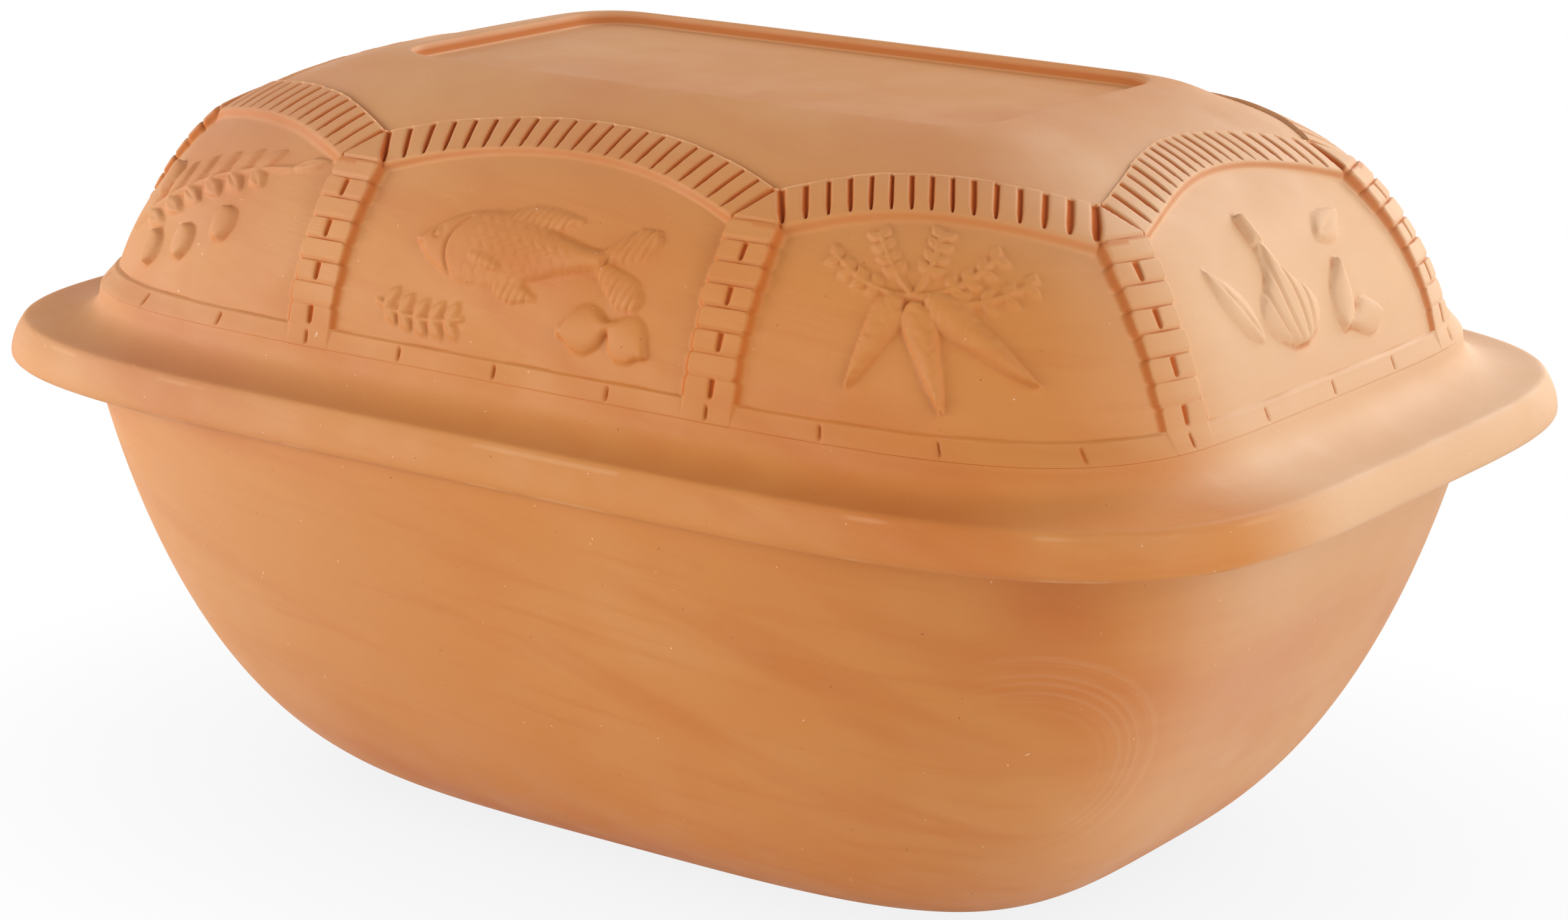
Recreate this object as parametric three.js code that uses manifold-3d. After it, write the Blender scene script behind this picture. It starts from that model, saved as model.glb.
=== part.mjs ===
// Clay roaster: an oblong pan with a flat rim, and a domed lid that rests on it by its flange.
// A brick arcade in relief runs round the lid: eight arched bays between eight pilasters.
// Millimetres, +Z up, +X along the length, -Y to the front, origin in the middle of the pan's underside.
import * as THREE from "three";
import { mergeVertices } from "three/addons/utils/BufferGeometryUtils.js";
import Module from "manifold-3d";

// Pan, measured outside
const PAN_LENGTH = 338.5;
const PAN_WIDTH = 245.7;
const PAN_HEIGHT = 111;
const FOOT_LENGTH = 196;
const FOOT_WIDTH = 109;
const PAN_WALL = 8.5;
const PAN_FLOOR = 9;
const FLOOR_INSET = 6;

// Lid: flange, cove and wall
const SEAT_GAP = 0.3;
const GRIP_OVERHANG = 15.7;
const SIDE_OVERHANG = 5.5;
const FLANGE_HEIGHT = 10.9;
const FLANGE_LEAN = 3.1;
const FLANGE_EDGE = 1.2;
const GRIP_LEDGE = 25.7;
const SIDE_LEDGE = 19.9;
const COVE_RISE = 8.3;
const LID_RISE = 61.2;
const LID_TOP_LENGTH = 174;
const LID_TOP_WIDTH = 90.6;
const LID_WALL = 7.5;
const SKIRT_DEPTH = 7;
const SKIRT_CLEARANCE = 1.5;

// Recess in the lid's top
const RECESS_LENGTH = 172.4;
const RECESS_WIDTH = 89;
const RECESS_DEPTH = 3.5;
const RECESS_RADIUS = 14;
const RECESS_DRAFT = 1;

// Brick arcade: heights are measured up the wall from the top of the base course
const COURSE_HEIGHT = 5;
const COURSE_RAISE = 1.2;
const COURSE_BRICKS_PER_BAY = 4;
const SIDE_PILASTER = 59.3;
const SIDE_PILASTER_LEAN = 1.3;
const END_PILASTER = 62.5;
const END_PILASTER_LEAN = 13;
const PILASTER_WIDTH = 13.6;
const PILASTER_FOOT_RAISE = 1.3;
const PILASTER_HEAD_RAISE = 3.2;
const PILASTER_COURSES = 8;
const ARCH_SPRING = 41.4;
const FACE_ARCH_RISE = 12.4;
const CORNER_ARCH_RISE = 8.6;
const ARCH_DEPTH = 12;
const ARCH_RAISE = 1.6;
const SPRINGER_HEIGHT = 10.6;
const SIDE_VOUSSOIRS = 21;
const END_VOUSSOIRS = 20;
const CORNER_VOUSSOIRS = 14;
const JOINT_WIDTH = 1.5;
const JOINT_DEPTH = 1.3;
const JOINT_STOP = 1.6;

// Squareness of the outlines: 2 is an ellipse, higher numbers square the corners
const FOOT_SQUARENESS = 3.9;
const RIM_SQUARENESS = 3.4;
const LID_SQUARENESS = 4.45;

// Fullness of the walls: how far out and how far up the two handles of each wall's curve lie
const PAN_LOW_HANDLE = new THREE.Vector2(0.52, 0.1);
const PAN_HIGH_HANDLE = new THREE.Vector2(0.83, 0.53);
const COVE_LOW_HANDLE = new THREE.Vector2(0.33, 0.1);
const COVE_HIGH_HANDLE = new THREE.Vector2(0.75, 0.5);
const LID_LOW_HANDLE = new THREE.Vector2(0.065, 0.327);
const LID_HIGH_HANDLE = new THREE.Vector2(0.293, 0.904);

// Fineness of the skins
const OUTLINE_POINTS = 44;
const PAN_STEPS = 9;
const COVE_STEPS = 4;
const FLANGE_STEPS = 3;
const LID_STEPS = 8;
const LID_INNER_STEPS = 6;
const ARCH_COLUMNS = 8;
const PILASTER_ROWS = 3;
const CORNER_BAY_STEPS = 12;
const RECESS_CORNER_STEPS = 6;
const SLAB_ROOT = 2;
const CUT_OVERSHOOT = 1;
const PARAMETER_ERROR = 1e-6;

const CLAY_COLOUR = "#cd8755";
const CLAY_ROUGHNESS = 0.92;

const { clamp, lerp } = THREE.MathUtils;
const wasm = await Module();
wasm.setup();

// A ring is held as a vector: half length, half width and height of a level outline.
const ring = (length, width, height) => new THREE.Vector3(length / 2, width / 2, height);

const inset = (from, inwards, height) => new THREE.Vector3(from.x - inwards, from.y - inwards, height);

// A wall is a curve through rings, from the low one to the high one.
function wallCurve(low, high, lowHandle, highHandle) {
  const handle = (share) =>
    new THREE.Vector3(
      lerp(low.x, high.x, share.x),
      lerp(low.y, high.y, share.x),
      lerp(low.z, high.z, share.y),
    );
  return new THREE.CubicBezierCurve3(low, handle(lowHandle), handle(highHandle), high);
}

// Ring of a rising wall at a given height, found by halving the curve's parameter.
function ringAt(curve, height) {
  let [low, high] = [0, 1];
  while (high - low > PARAMETER_ERROR) {
    const middle = (low + high) / 2;
    if (curve.getPoint(middle).z < height) low = middle;
    else high = middle;
  }
  return curve.getPoint(low);
}

// Superellipse outline of a ring, anticlockwise from +X.
function outline(at, squareness) {
  const power = (s) => Math.sign(s) * Math.abs(s) ** (2 / squareness);
  return Array.from({ length: OUTLINE_POINTS }, (_, i) => {
    const turn = (2 * Math.PI * i) / OUTLINE_POINTS;
    return new THREE.Vector3(at.x * power(Math.cos(turn)), at.y * power(Math.sin(turn)), at.z);
  });
}

// Outlines along a wall, whose squareness changes evenly from one end to the other.
function outlines(curve, steps, startSquareness, endSquareness) {
  return curve
    .getPoints(steps)
    .map((at, i) => outline(at, lerp(startSquareness, endSquareness, i / steps)));
}

function indexed(points, index) {
  return new THREE.BufferGeometry().setFromPoints(points).setIndex(index);
}

// Closed skin over a stack of outlines, with a flat cap over the first and the last.
function loft(stack) {
  const count = OUTLINE_POINTS;
  const points = stack.flat();
  const index = [];
  for (let i = 0; i + 1 < stack.length; i++) {
    for (let j = 0; j < count; j++) {
      const a = i * count + j;
      const b = i * count + ((j + 1) % count);
      index.push(a, b, b + count, a, b + count, a + count);
    }
  }
  const last = (stack.length - 1) * count;
  const first = points.push(new THREE.Vector3(0, 0, stack[0][0].z)) - 1;
  const end = points.push(new THREE.Vector3(0, 0, points[last].z)) - 1;
  for (let j = 0; j < count; j++) {
    const next = (j + 1) % count;
    index.push(first, next, j, end, last + j, last + next);
  }
  return indexed(points, index);
}

function solid(geometry) {
  const bare = geometry.clone();
  bare.deleteAttribute("normal");
  bare.deleteAttribute("uv");
  const merged = mergeVertices(bare);
  return new wasm.Manifold(
    new wasm.Mesh({
      numProp: 3,
      vertProperties: new Float32Array(merged.getAttribute("position").array),
      triVerts: new Uint32Array(merged.index.array),
    }),
  );
}

function geometryOf(body) {
  const mesh = body.getMesh();
  const geometry = new THREE.BufferGeometry();
  geometry.setAttribute("position", new THREE.BufferAttribute(mesh.vertProperties, mesh.numProp));
  geometry.setIndex(new THREE.BufferAttribute(mesh.triVerts, 1));
  geometry.computeVertexNormals();
  return geometry;
}

const joined = (solids) => solids.reduce((whole, next) => whole.add(next));

// Pan: the outer wall up from the foot, the flat rim, and the inner wall down to the floor
const foot = ring(FOOT_LENGTH, FOOT_WIDTH, 0);
const rim = ring(PAN_LENGTH, PAN_WIDTH, PAN_HEIGHT);
const innerFoot = inset(foot, FLOOR_INSET, PAN_FLOOR);
const innerRim = inset(rim, PAN_WALL, PAN_HEIGHT);
const panOuter = wallCurve(foot, rim, PAN_LOW_HANDLE, PAN_HIGH_HANDLE);
const panInner = wallCurve(innerFoot, innerRim, PAN_LOW_HANDLE, PAN_HIGH_HANDLE);

const panGeometry = loft([
  ...outlines(panOuter, PAN_STEPS, FOOT_SQUARENESS, RIM_SQUARENESS),
  ...outlines(panInner, PAN_STEPS, FOOT_SQUARENESS, RIM_SQUARENESS).reverse(),
]);

// Rings of the lid, from the flange's flat underside to the rim of the top
const seatLevel = PAN_HEIGHT + SEAT_GAP;
const flangeLength = PAN_LENGTH + 2 * GRIP_OVERHANG;
const flangeWidth = PAN_WIDTH + 2 * SIDE_OVERHANG;
const flange = ring(flangeLength, flangeWidth, seatLevel + FLANGE_EDGE);
const flangeLow = inset(flange, FLANGE_EDGE, seatLevel);
const flangeHigh = inset(flange, FLANGE_LEAN, seatLevel + FLANGE_HEIGHT);
const flangeMiddle = inset(flange, 0, (flange.z + flangeHigh.z) / 2);
const flangeFace = new THREE.QuadraticBezierCurve3(flange, flangeMiddle, flangeHigh);
const courseLow = ring(
  flangeLength - 2 * GRIP_LEDGE,
  flangeWidth - 2 * SIDE_LEDGE,
  flangeHigh.z + COVE_RISE,
);
const courseHigh = inset(courseLow, 0, courseLow.z + COURSE_HEIGHT);
const wallFoot = inset(courseHigh, COURSE_RAISE, courseHigh.z);
const lidTop = ring(LID_TOP_LENGTH, LID_TOP_WIDTH, courseLow.z + LID_RISE);
const cove = wallCurve(flangeHigh, courseLow, COVE_LOW_HANDLE, COVE_HIGH_HANDLE);
const lidWall = wallCurve(wallFoot, lidTop, LID_LOW_HANDLE, LID_HIGH_HANDLE);

// Rings of the lid's hollow: its inner wall carries on down as a skirt that drops inside the pan's rim
const skirtOuter = inset(innerRim, SKIRT_CLEARANCE, seatLevel);
const skirtLevel = seatLevel - SKIRT_DEPTH;
const skirtFoot = inset(ringAt(panInner, skirtLevel), SKIRT_CLEARANCE, skirtLevel);
const hollowFoot = inset(wallFoot, LID_WALL, skirtLevel);
const hollowShoulder = inset(hollowFoot, 0, courseLow.z);
const hollowTop = inset(lidTop, 0, lidTop.z - RECESS_DEPTH - LID_WALL);
const hollowWall = wallCurve(hollowShoulder, hollowTop, LID_LOW_HANDLE, LID_HIGH_HANDLE);

const lidShell = loft([
  ...outlines(hollowWall, LID_INNER_STEPS, RIM_SQUARENESS, LID_SQUARENESS).reverse(),
  outline(hollowFoot, RIM_SQUARENESS),
  outline(skirtFoot, RIM_SQUARENESS),
  outline(skirtOuter, RIM_SQUARENESS),
  outline(flangeLow, LID_SQUARENESS),
  ...outlines(flangeFace, FLANGE_STEPS, LID_SQUARENESS, LID_SQUARENESS),
  ...outlines(cove, COVE_STEPS, LID_SQUARENESS, LID_SQUARENESS).slice(1),
  outline(courseHigh, LID_SQUARENESS),
  ...outlines(lidWall, LID_STEPS, LID_SQUARENESS, LID_SQUARENESS),
]);

// Heights up the wall are arc lengths along its front profile.
const frontProfile = new THREE.CubicBezierCurve(
  ...[lidWall.v0, lidWall.v1, lidWall.v2, lidWall.v3].map((at) => new THREE.Vector2(at.y, at.z)),
);
const profileLength = frontProfile.getLength();

// Point in plan on the face of a ring that looks along +X, +Y, -X or -Y, at a distance along that face.
function facePoint(at, face, along) {
  const [out, half] = face % 2 ? [at.y, at.x] : [at.x, at.y];
  const depth = out * (1 - Math.abs(along / half) ** LID_SQUARENESS) ** (1 / LID_SQUARENESS);
  return new THREE.Vector2(depth, along).rotateAround(new THREE.Vector2(), (face * Math.PI) / 2);
}

// Point in plan where a ray from the axis meets a ring.
function rayPoint(at, angle) {
  const share = (s, half) => Math.abs(s / half) ** LID_SQUARENESS;
  const sum = share(Math.cos(angle), at.x) + share(Math.sin(angle), at.y);
  return new THREE.Vector2(1, 0).rotateAround(new THREE.Vector2(), angle).multiplyScalar(
    sum ** (-1 / LID_SQUARENESS),
  );
}

// Distance from a face's middle to the centre line of its pilasters, which lean together as they rise.
function pilasterAlong(face, up) {
  const lean = (up / (ARCH_SPRING + SPRINGER_HEIGHT)) ** 2;
  return face % 2 ? SIDE_PILASTER - SIDE_PILASTER_LEAN * lean : END_PILASTER - END_PILASTER_LEAN * lean;
}

// Point on the lid's wall, lifted off it square to the surface.
function onWall(place, up, lift) {
  const t = frontProfile.getUtoTmapping(up / profileLength);
  const at = lidWall.getPoint(t);
  const slope = lidWall.getTangent(t);
  const plan = place(at, up);
  const steep = (s, half) => (Math.sign(s) * Math.abs(s / half) ** (LID_SQUARENESS - 1)) / half;
  const nx = steep(plan.x, at.x);
  const ny = steep(plan.y, at.y);
  const nz = -((nx * plan.x * slope.x) / at.x + (ny * plan.y * slope.y) / at.y) / slope.z;
  const normal = new THREE.Vector3(nx, ny, nz).normalize();
  return new THREE.Vector3(plan.x, plan.y, at.z).addScaledVector(normal, lift);
}

// Point on a pilaster, lifted off its brick face: a distance to the side of its centre line, and a height.
function onPilaster(face, side, across, up, lift) {
  const place = (at) => facePoint(at, face, side * pilasterAlong(face, up) + across);
  const raise = lerp(PILASTER_FOOT_RAISE, PILASTER_HEAD_RAISE, up / ARCH_SPRING);
  return onWall(place, up, raise + lift);
}

// Place in a bay: a share of the way across it, between lines set in from its two pilasters' centres.
function faceBayPlace(face, share, setIn) {
  return (at, up) => facePoint(at, face, (pilasterAlong(face, up) - setIn) * (2 * share - 1));
}

// In a corner bay the shares are lengths round the bend, which carries on straight past its two ends.
function cornerBayPlace(face, share, setIn) {
  return (at, up) => {
    const start = facePoint(at, face, pilasterAlong(face, up) + setIn).angle();
    const next = (face + 1) % 4;
    const end = facePoint(at, next, -pilasterAlong(next, up) - setIn).angle();
    const steps = Array.from({ length: CORNER_BAY_STEPS + 1 }, (_, i) => i / CORNER_BAY_STEPS);
    const bend = new THREE.SplineCurve(steps.map((step) => rayPoint(at, lerp(start, end, step))));
    const inside = clamp(share, 0, 1);
    const beyond = bend.getTangentAt(inside).multiplyScalar((share - inside) * bend.getLength());
    return rayPoint(at, bend.getPointAt(inside).add(beyond).angle());
  };
}

// A bay of the arcade: its places, the rise of its arch, and the number of bricks in it.
const faceBay = (face) => ({
  place: (share, setIn) => faceBayPlace(face, share, setIn),
  rise: FACE_ARCH_RISE,
  bricks: face % 2 ? SIDE_VOUSSOIRS : END_VOUSSOIRS,
});

const cornerBay = (face) => ({
  place: (share, setIn) => cornerBayPlace(face, share, setIn),
  rise: CORNER_ARCH_RISE,
  bricks: CORNER_VOUSSOIRS,
});

// Closed slab on the wall between two lifts. spot(s, t, lift) gives its points, s across and t up.
function slab(columns, rows, spot, low, high) {
  const points = [];
  for (const lift of [low, high]) {
    for (let i = 0; i <= columns; i++) {
      for (let j = 0; j <= rows; j++) points.push(spot(i / columns, j / rows, lift));
    }
  }
  const at = (i, j, level) => level * (columns + 1) * (rows + 1) + i * (rows + 1) + j;
  const index = [];
  const quad = (a, b, c, d) => index.push(a, b, c, a, c, d);
  for (let i = 0; i < columns; i++) {
    for (let j = 0; j < rows; j++) {
      quad(at(i, j, 1), at(i + 1, j, 1), at(i + 1, j + 1, 1), at(i, j + 1, 1));
      quad(at(i, j, 0), at(i, j + 1, 0), at(i + 1, j + 1, 0), at(i + 1, j, 0));
    }
    quad(at(i, 0, 0), at(i + 1, 0, 0), at(i + 1, 0, 1), at(i, 0, 1));
    quad(at(i + 1, rows, 0), at(i, rows, 0), at(i, rows, 1), at(i + 1, rows, 1));
  }
  for (let j = 0; j < rows; j++) {
    quad(at(columns, j, 0), at(columns, j + 1, 0), at(columns, j + 1, 1), at(columns, j, 1));
    quad(at(0, j + 1, 0), at(0, j, 0), at(0, j, 1), at(0, j + 1, 1));
  }
  return solid(indexed(points, index));
}

// Point of an arch, lifted off its brick face: a share along it, and a depth from its inner to its outer edge.
function archPoint(bay, share, depth, lift) {
  const shape = 1 - (2 * share - 1) ** 2;
  const inner = ARCH_SPRING + bay.rise * shape;
  const outer = inner + lerp(SPRINGER_HEIGHT, ARCH_DEPTH, shape);
  const setIn = lerp((PILASTER_WIDTH - JOINT_WIDTH) / 2, 0, depth);
  return onWall(bay.place(share, setIn), lerp(inner, outer, depth), ARCH_RAISE + lift);
}

function archBand(bay) {
  const spot = (s, t, lift) => archPoint(bay, s, t, lift);
  return slab(ARCH_COLUMNS, 1, spot, -ARCH_RAISE - SLAB_ROOT, 0);
}

// Closed V-shaped cutter for a joint. spot(across, t, lift) gives its points: across is a distance to the
// side of the joint's line, t runs along it, and the V is as wide as the joint at the brick face.
function groove(spot) {
  const half = (JOINT_WIDTH / 2) * (1 + CUT_OVERSHOOT / JOINT_DEPTH);
  const points = [0, 1].flatMap((t) => [
    spot(-half, t, CUT_OVERSHOOT),
    spot(half, t, CUT_OVERSHOOT),
    spot(0, t, -JOINT_DEPTH),
  ]);
  const sides = [0, 1, 4, 0, 4, 3, 0, 3, 5, 0, 5, 2, 1, 2, 5, 1, 5, 4];
  const ends = [0, 2, 1, 3, 4, 5];
  return solid(indexed(points, [...sides, ...ends]));
}

// Radial joints between the bricks of an arch, open at its outer edge and stopped short of its inner one.
function archJoints(bay) {
  const span = archPoint(bay, 0, 1, 0).distanceTo(archPoint(bay, 1, 1, 0));
  const stop = JOINT_STOP / ARCH_DEPTH;
  const past = 1 + CUT_OVERSHOOT / ARCH_DEPTH;
  return Array.from({ length: bay.bricks + 1 }, (_, k) => {
    const spot = (across, t, lift) =>
      archPoint(bay, k / bay.bricks + across / span, lerp(stop, past, t), lift);
    return groove(spot);
  });
}

// Pilaster with its springer, the wedge-shaped brick between two arches.
function pilaster(face, side) {
  const shaft = (s, t, lift) => {
    const across = lerp(-PILASTER_WIDTH / 2, PILASTER_WIDTH / 2, s);
    return onPilaster(face, side, across, (ARCH_SPRING + JOINT_WIDTH / 2) * t, lift);
  };
  const wedge = (s, t, lift) => {
    const half = lerp(PILASTER_WIDTH, JOINT_WIDTH, t) / 2;
    const up = ARCH_SPRING - CUT_OVERSHOOT + (SPRINGER_HEIGHT + CUT_OVERSHOOT) * t;
    const along = side * pilasterAlong(face, up) + lerp(-half, half, s);
    return onWall((at) => facePoint(at, face, along), up, lift);
  };
  return slab(1, PILASTER_ROWS, shaft, -PILASTER_HEAD_RAISE - SLAB_ROOT, 0).add(
    slab(1, 1, wedge, -SLAB_ROOT, ARCH_RAISE),
  );
}

// Bed joints between a pilaster's courses, and an upright joint in every other course.
function pilasterJoints(face, side) {
  const course = ARCH_SPRING / PILASTER_COURSES;
  const reach = PILASTER_WIDTH / 2 + CUT_OVERSHOOT;
  const bedJoint = (k) => (across, t, lift) =>
    onPilaster(face, side, lerp(reach, -reach, t), k * course + across, lift);
  const uprightJoint = (k) => (across, t, lift) =>
    onPilaster(face, side, across, (k - 1 + t) * course, lift);
  const cutters = [];
  for (let k = 1; k <= PILASTER_COURSES; k++) {
    cutters.push(groove(bedJoint(k)));
    if (k % 2) cutters.push(groove(uprightJoint(k)));
  }
  return cutters;
}

// Upright joints of the base course, one under each pilaster and the rest spread evenly along the bay.
function courseJoints(bay) {
  return Array.from({ length: COURSE_BRICKS_PER_BAY }, (_, k) => {
    const place = bay.place(k / COURSE_BRICKS_PER_BAY, 0);
    const face = onWall(place, 0, 0);
    const out = onWall(place, 0, 1).sub(face);
    const notch = new THREE.BoxGeometry(2 * COURSE_RAISE, JOINT_WIDTH, COURSE_HEIGHT);
    notch.translate(COURSE_RAISE, 0, -COURSE_HEIGHT / 2);
    notch.rotateZ(Math.atan2(out.y, out.x));
    notch.translate(face.x, face.y, face.z);
    return solid(notch);
  });
}

// Shallow recess in the top, a rounded rectangle whose wall slopes in to a flat floor.
function topRecess() {
  const x = RECESS_LENGTH / 2 - RECESS_RADIUS;
  const y = RECESS_WIDTH / 2 - RECESS_RADIUS;
  const shape = new THREE.Shape();
  shape.absarc(x, y, RECESS_RADIUS, 0, Math.PI / 2);
  shape.absarc(-x, y, RECESS_RADIUS, Math.PI / 2, Math.PI);
  shape.absarc(-x, -y, RECESS_RADIUS, Math.PI, (3 * Math.PI) / 2);
  shape.absarc(x, -y, RECESS_RADIUS, (3 * Math.PI) / 2, 2 * Math.PI);
  const cutter = new THREE.ExtrudeGeometry(shape, {
    depth: CUT_OVERSHOOT,
    curveSegments: RECESS_CORNER_STEPS,
    bevelThickness: RECESS_DEPTH,
    bevelSize: RECESS_DRAFT,
    bevelOffset: -RECESS_DRAFT,
    bevelSegments: 1,
  });
  return solid(cutter.translate(0, 0, lidTop.z));
}

// The arcade, face by face: each has its own bay, the corner bay after it, and two pilasters
const raised = [];
const cuts = [topRecess()];
for (let face = 0; face < 4; face++) {
  for (const bay of [faceBay(face), cornerBay(face)]) {
    raised.push(archBand(bay));
    cuts.push(...archJoints(bay), ...courseJoints(bay));
  }
  for (const side of [-1, 1]) {
    raised.push(pilaster(face, side));
    cuts.push(...pilasterJoints(face, side));
  }
}
const lidGeometry = geometryOf(solid(lidShell).add(joined(raised)).subtract(joined(cuts)));

const clay = new THREE.MeshStandardMaterial({
  color: CLAY_COLOUR,
  roughness: CLAY_ROUGHNESS,
  metalness: 0,
});

function piece(name, geometry) {
  const mesh = new THREE.Mesh(geometry, clay);
  mesh.name = name;
  return mesh;
}

const roaster = new THREE.Group();
roaster.add(piece("base_pan", panGeometry), piece("lid", lidGeometry));

export default roaster;
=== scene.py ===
import math

import bpy
import numpy as np
from mathutils import Matrix, Vector


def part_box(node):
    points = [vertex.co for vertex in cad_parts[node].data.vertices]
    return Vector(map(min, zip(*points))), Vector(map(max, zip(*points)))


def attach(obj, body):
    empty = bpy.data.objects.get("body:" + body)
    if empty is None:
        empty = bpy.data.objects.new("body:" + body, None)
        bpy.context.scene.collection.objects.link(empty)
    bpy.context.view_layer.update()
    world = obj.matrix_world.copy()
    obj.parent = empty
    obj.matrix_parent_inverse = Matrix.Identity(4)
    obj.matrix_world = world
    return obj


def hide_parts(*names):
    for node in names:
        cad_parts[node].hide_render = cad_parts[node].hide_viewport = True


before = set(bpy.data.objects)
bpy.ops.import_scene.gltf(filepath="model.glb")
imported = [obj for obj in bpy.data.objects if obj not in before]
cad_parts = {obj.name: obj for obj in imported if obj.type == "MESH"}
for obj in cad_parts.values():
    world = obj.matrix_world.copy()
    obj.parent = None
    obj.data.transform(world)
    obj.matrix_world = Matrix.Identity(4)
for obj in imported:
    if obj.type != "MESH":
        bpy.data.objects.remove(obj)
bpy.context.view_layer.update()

# Pan
# The oblong lower half, pressed from red clay into a plaster mould, wiped smooth with a wet sponge
# and fired without glaze. It stands on a flat foot, and its level rim carries the lid.
MM = 0.001
RIM = np.array(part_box("base_pan")[1])
FOOT = np.array([98.0, 54.5, 0.0]) * MM
PAN_WALL = 8.5 * MM
PAN_FLOOR = 9.0 * MM
FLOOR_INSET = 6.0 * MM
FOOT_SQUARENESS = 3.9
RIM_SQUARENESS = 3.4
PAN_HANDLES = ((0.52, 0.10), (0.83, 0.53))
PAN_COLUMNS = 440
PAN_ROWS = 110
CURVE_STEPS = 60
SPONGED_EDGE = 1.6 * MM
FINE_STEP = 0.3 * MM
STEPS_PER_COLUMN = 40
CROWDING = 0.9


def wall_rings(low, high, handles, share):
    """Rings (half length, half width, height) of a wall at shares of its curve, a cubic from the low
    ring to the high one whose two handles lie at given shares of the way out and of the way up."""
    (first_out, first_up), (second_out, second_up) = handles
    weights = np.stack([3 * (1 - share) ** 2 * share, 3 * (1 - share) * share**2, share**3], -1)
    out = weights @ np.array([first_out, second_out, 1.0])
    up = weights @ np.array([first_up, second_up, 1.0])
    return low + (high - low) * np.stack([out, out, up], -1)


def ray_radius(half_length, half_width, squareness, angle):
    """Distance from the axis to a superellipse along a ray: the sum of |cos/length| and |sin/width|,
    each to the power of the squareness, to the power of minus one over the squareness."""
    along = np.abs(np.cos(angle) / half_length) ** squareness
    across = np.abs(np.sin(angle) / half_width) ** squareness
    return (along + across) ** (-1 / squareness)


def even_angles(ring, squareness, count):
    """Angles of rays that cut a ring's outline into equal lengths, from its running length."""
    dense = np.linspace(0, 2 * np.pi, STEPS_PER_COLUMN * count + 1)
    radius = ray_radius(ring[0], ring[1], squareness, dense)
    outline = np.stack([radius * np.cos(dense), radius * np.sin(dense)], -1)
    length = np.concatenate([[0], np.cumsum(np.linalg.norm(np.diff(outline, axis=0), axis=1))])
    return np.interp(np.arange(count) / count * length[-1], length, dense)


def outline_rows(rings, squareness, angle):
    """Rows of (radius, height) along the rays, one row for each ring."""
    a, b, z = (rings[:, k, None] for k in range(3))
    n = np.broadcast_to(squareness, len(rings))[:, None]
    radius = ray_radius(a, b, n, angle)
    return np.stack([radius, np.broadcast_to(z, radius.shape)], -1)


def running_length(rows):
    """Length along a stack of rows, taken as the mean over its columns."""
    steps = np.linalg.norm(np.diff(rows, axis=0), axis=-1).mean(axis=1)
    return np.concatenate([[0], np.cumsum(steps)])


def at_lengths(rows, length, wanted):
    """Rows at wanted lengths along the stack, each a straight mix of the two rows next to it."""
    before = np.clip(np.searchsorted(length, wanted, side="right") - 1, 0, len(length) - 2)
    share = ((wanted - length[before]) / (length[before + 1] - length[before]))[:, None, None]
    return rows[before] * (1 - share) + rows[before + 1] * share


def sponged(rows, softness, count):
    """Stack of rows with its edges wiped soft: each fine row becomes a bell-weighted mean of the rows
    within the softness, and the stack is thinned to rows that crowd together where it bends."""
    length = running_length(rows)
    fine = at_lengths(rows, length, np.linspace(0, length[-1], int(length[-1] / FINE_STEP)))
    reach = int(2 * softness / FINE_STEP)
    bell = np.exp(-0.5 * (np.arange(-reach, reach + 1) * FINE_STEP * 2 / softness) ** 2)
    bell /= bell.sum()
    start = 2 * fine[:1] - fine[reach:0:-1]
    end = 2 * fine[-1:] - fine[-2 : -reach - 2 : -1]
    padded = np.concatenate([start, fine, end])
    soft = sum(w * padded[k : k + len(fine)] for k, w in enumerate(bell))
    length = running_length(soft)
    bend = np.zeros(len(soft))
    bend[1:-1] = np.linalg.norm(np.diff(soft, 2, axis=0), axis=-1).mean(axis=1) / FINE_STEP**2
    crowd = np.cumsum(1 / length[-1] + CROWDING * np.sqrt(bend) / np.sqrt(bend).sum() / FINE_STEP)
    wanted = np.interp(np.linspace(crowd[0], crowd[-1], count), crowd, length)
    return at_lengths(soft, length, wanted)


def ring_skin(rows, angle):
    """Points and faces of a closed skin over rows of (radius, height), each end closed by a fan."""
    count, columns = rows.shape[:2]
    radius, height = rows[..., 0], rows[..., 1]
    points = np.stack([radius * np.cos(angle), radius * np.sin(angle), height], -1).reshape(-1, 3)
    poles = [[0, 0, height[0].mean()], [0, 0, height[-1].mean()]]
    first = np.arange(count * columns).reshape(count, columns)
    second = np.roll(first, -1, axis=1)
    quads = np.stack([first[:-1], second[:-1], second[1:], first[1:]], -1).reshape(-1, 4)
    start, end = count * columns, count * columns + 1
    under = np.stack([np.full(columns, start), second[0], first[0]], -1)
    over = np.stack([np.full(columns, end), first[-1], second[-1]], -1)
    return np.concatenate([points, poles]), [quads, under, over]


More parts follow.
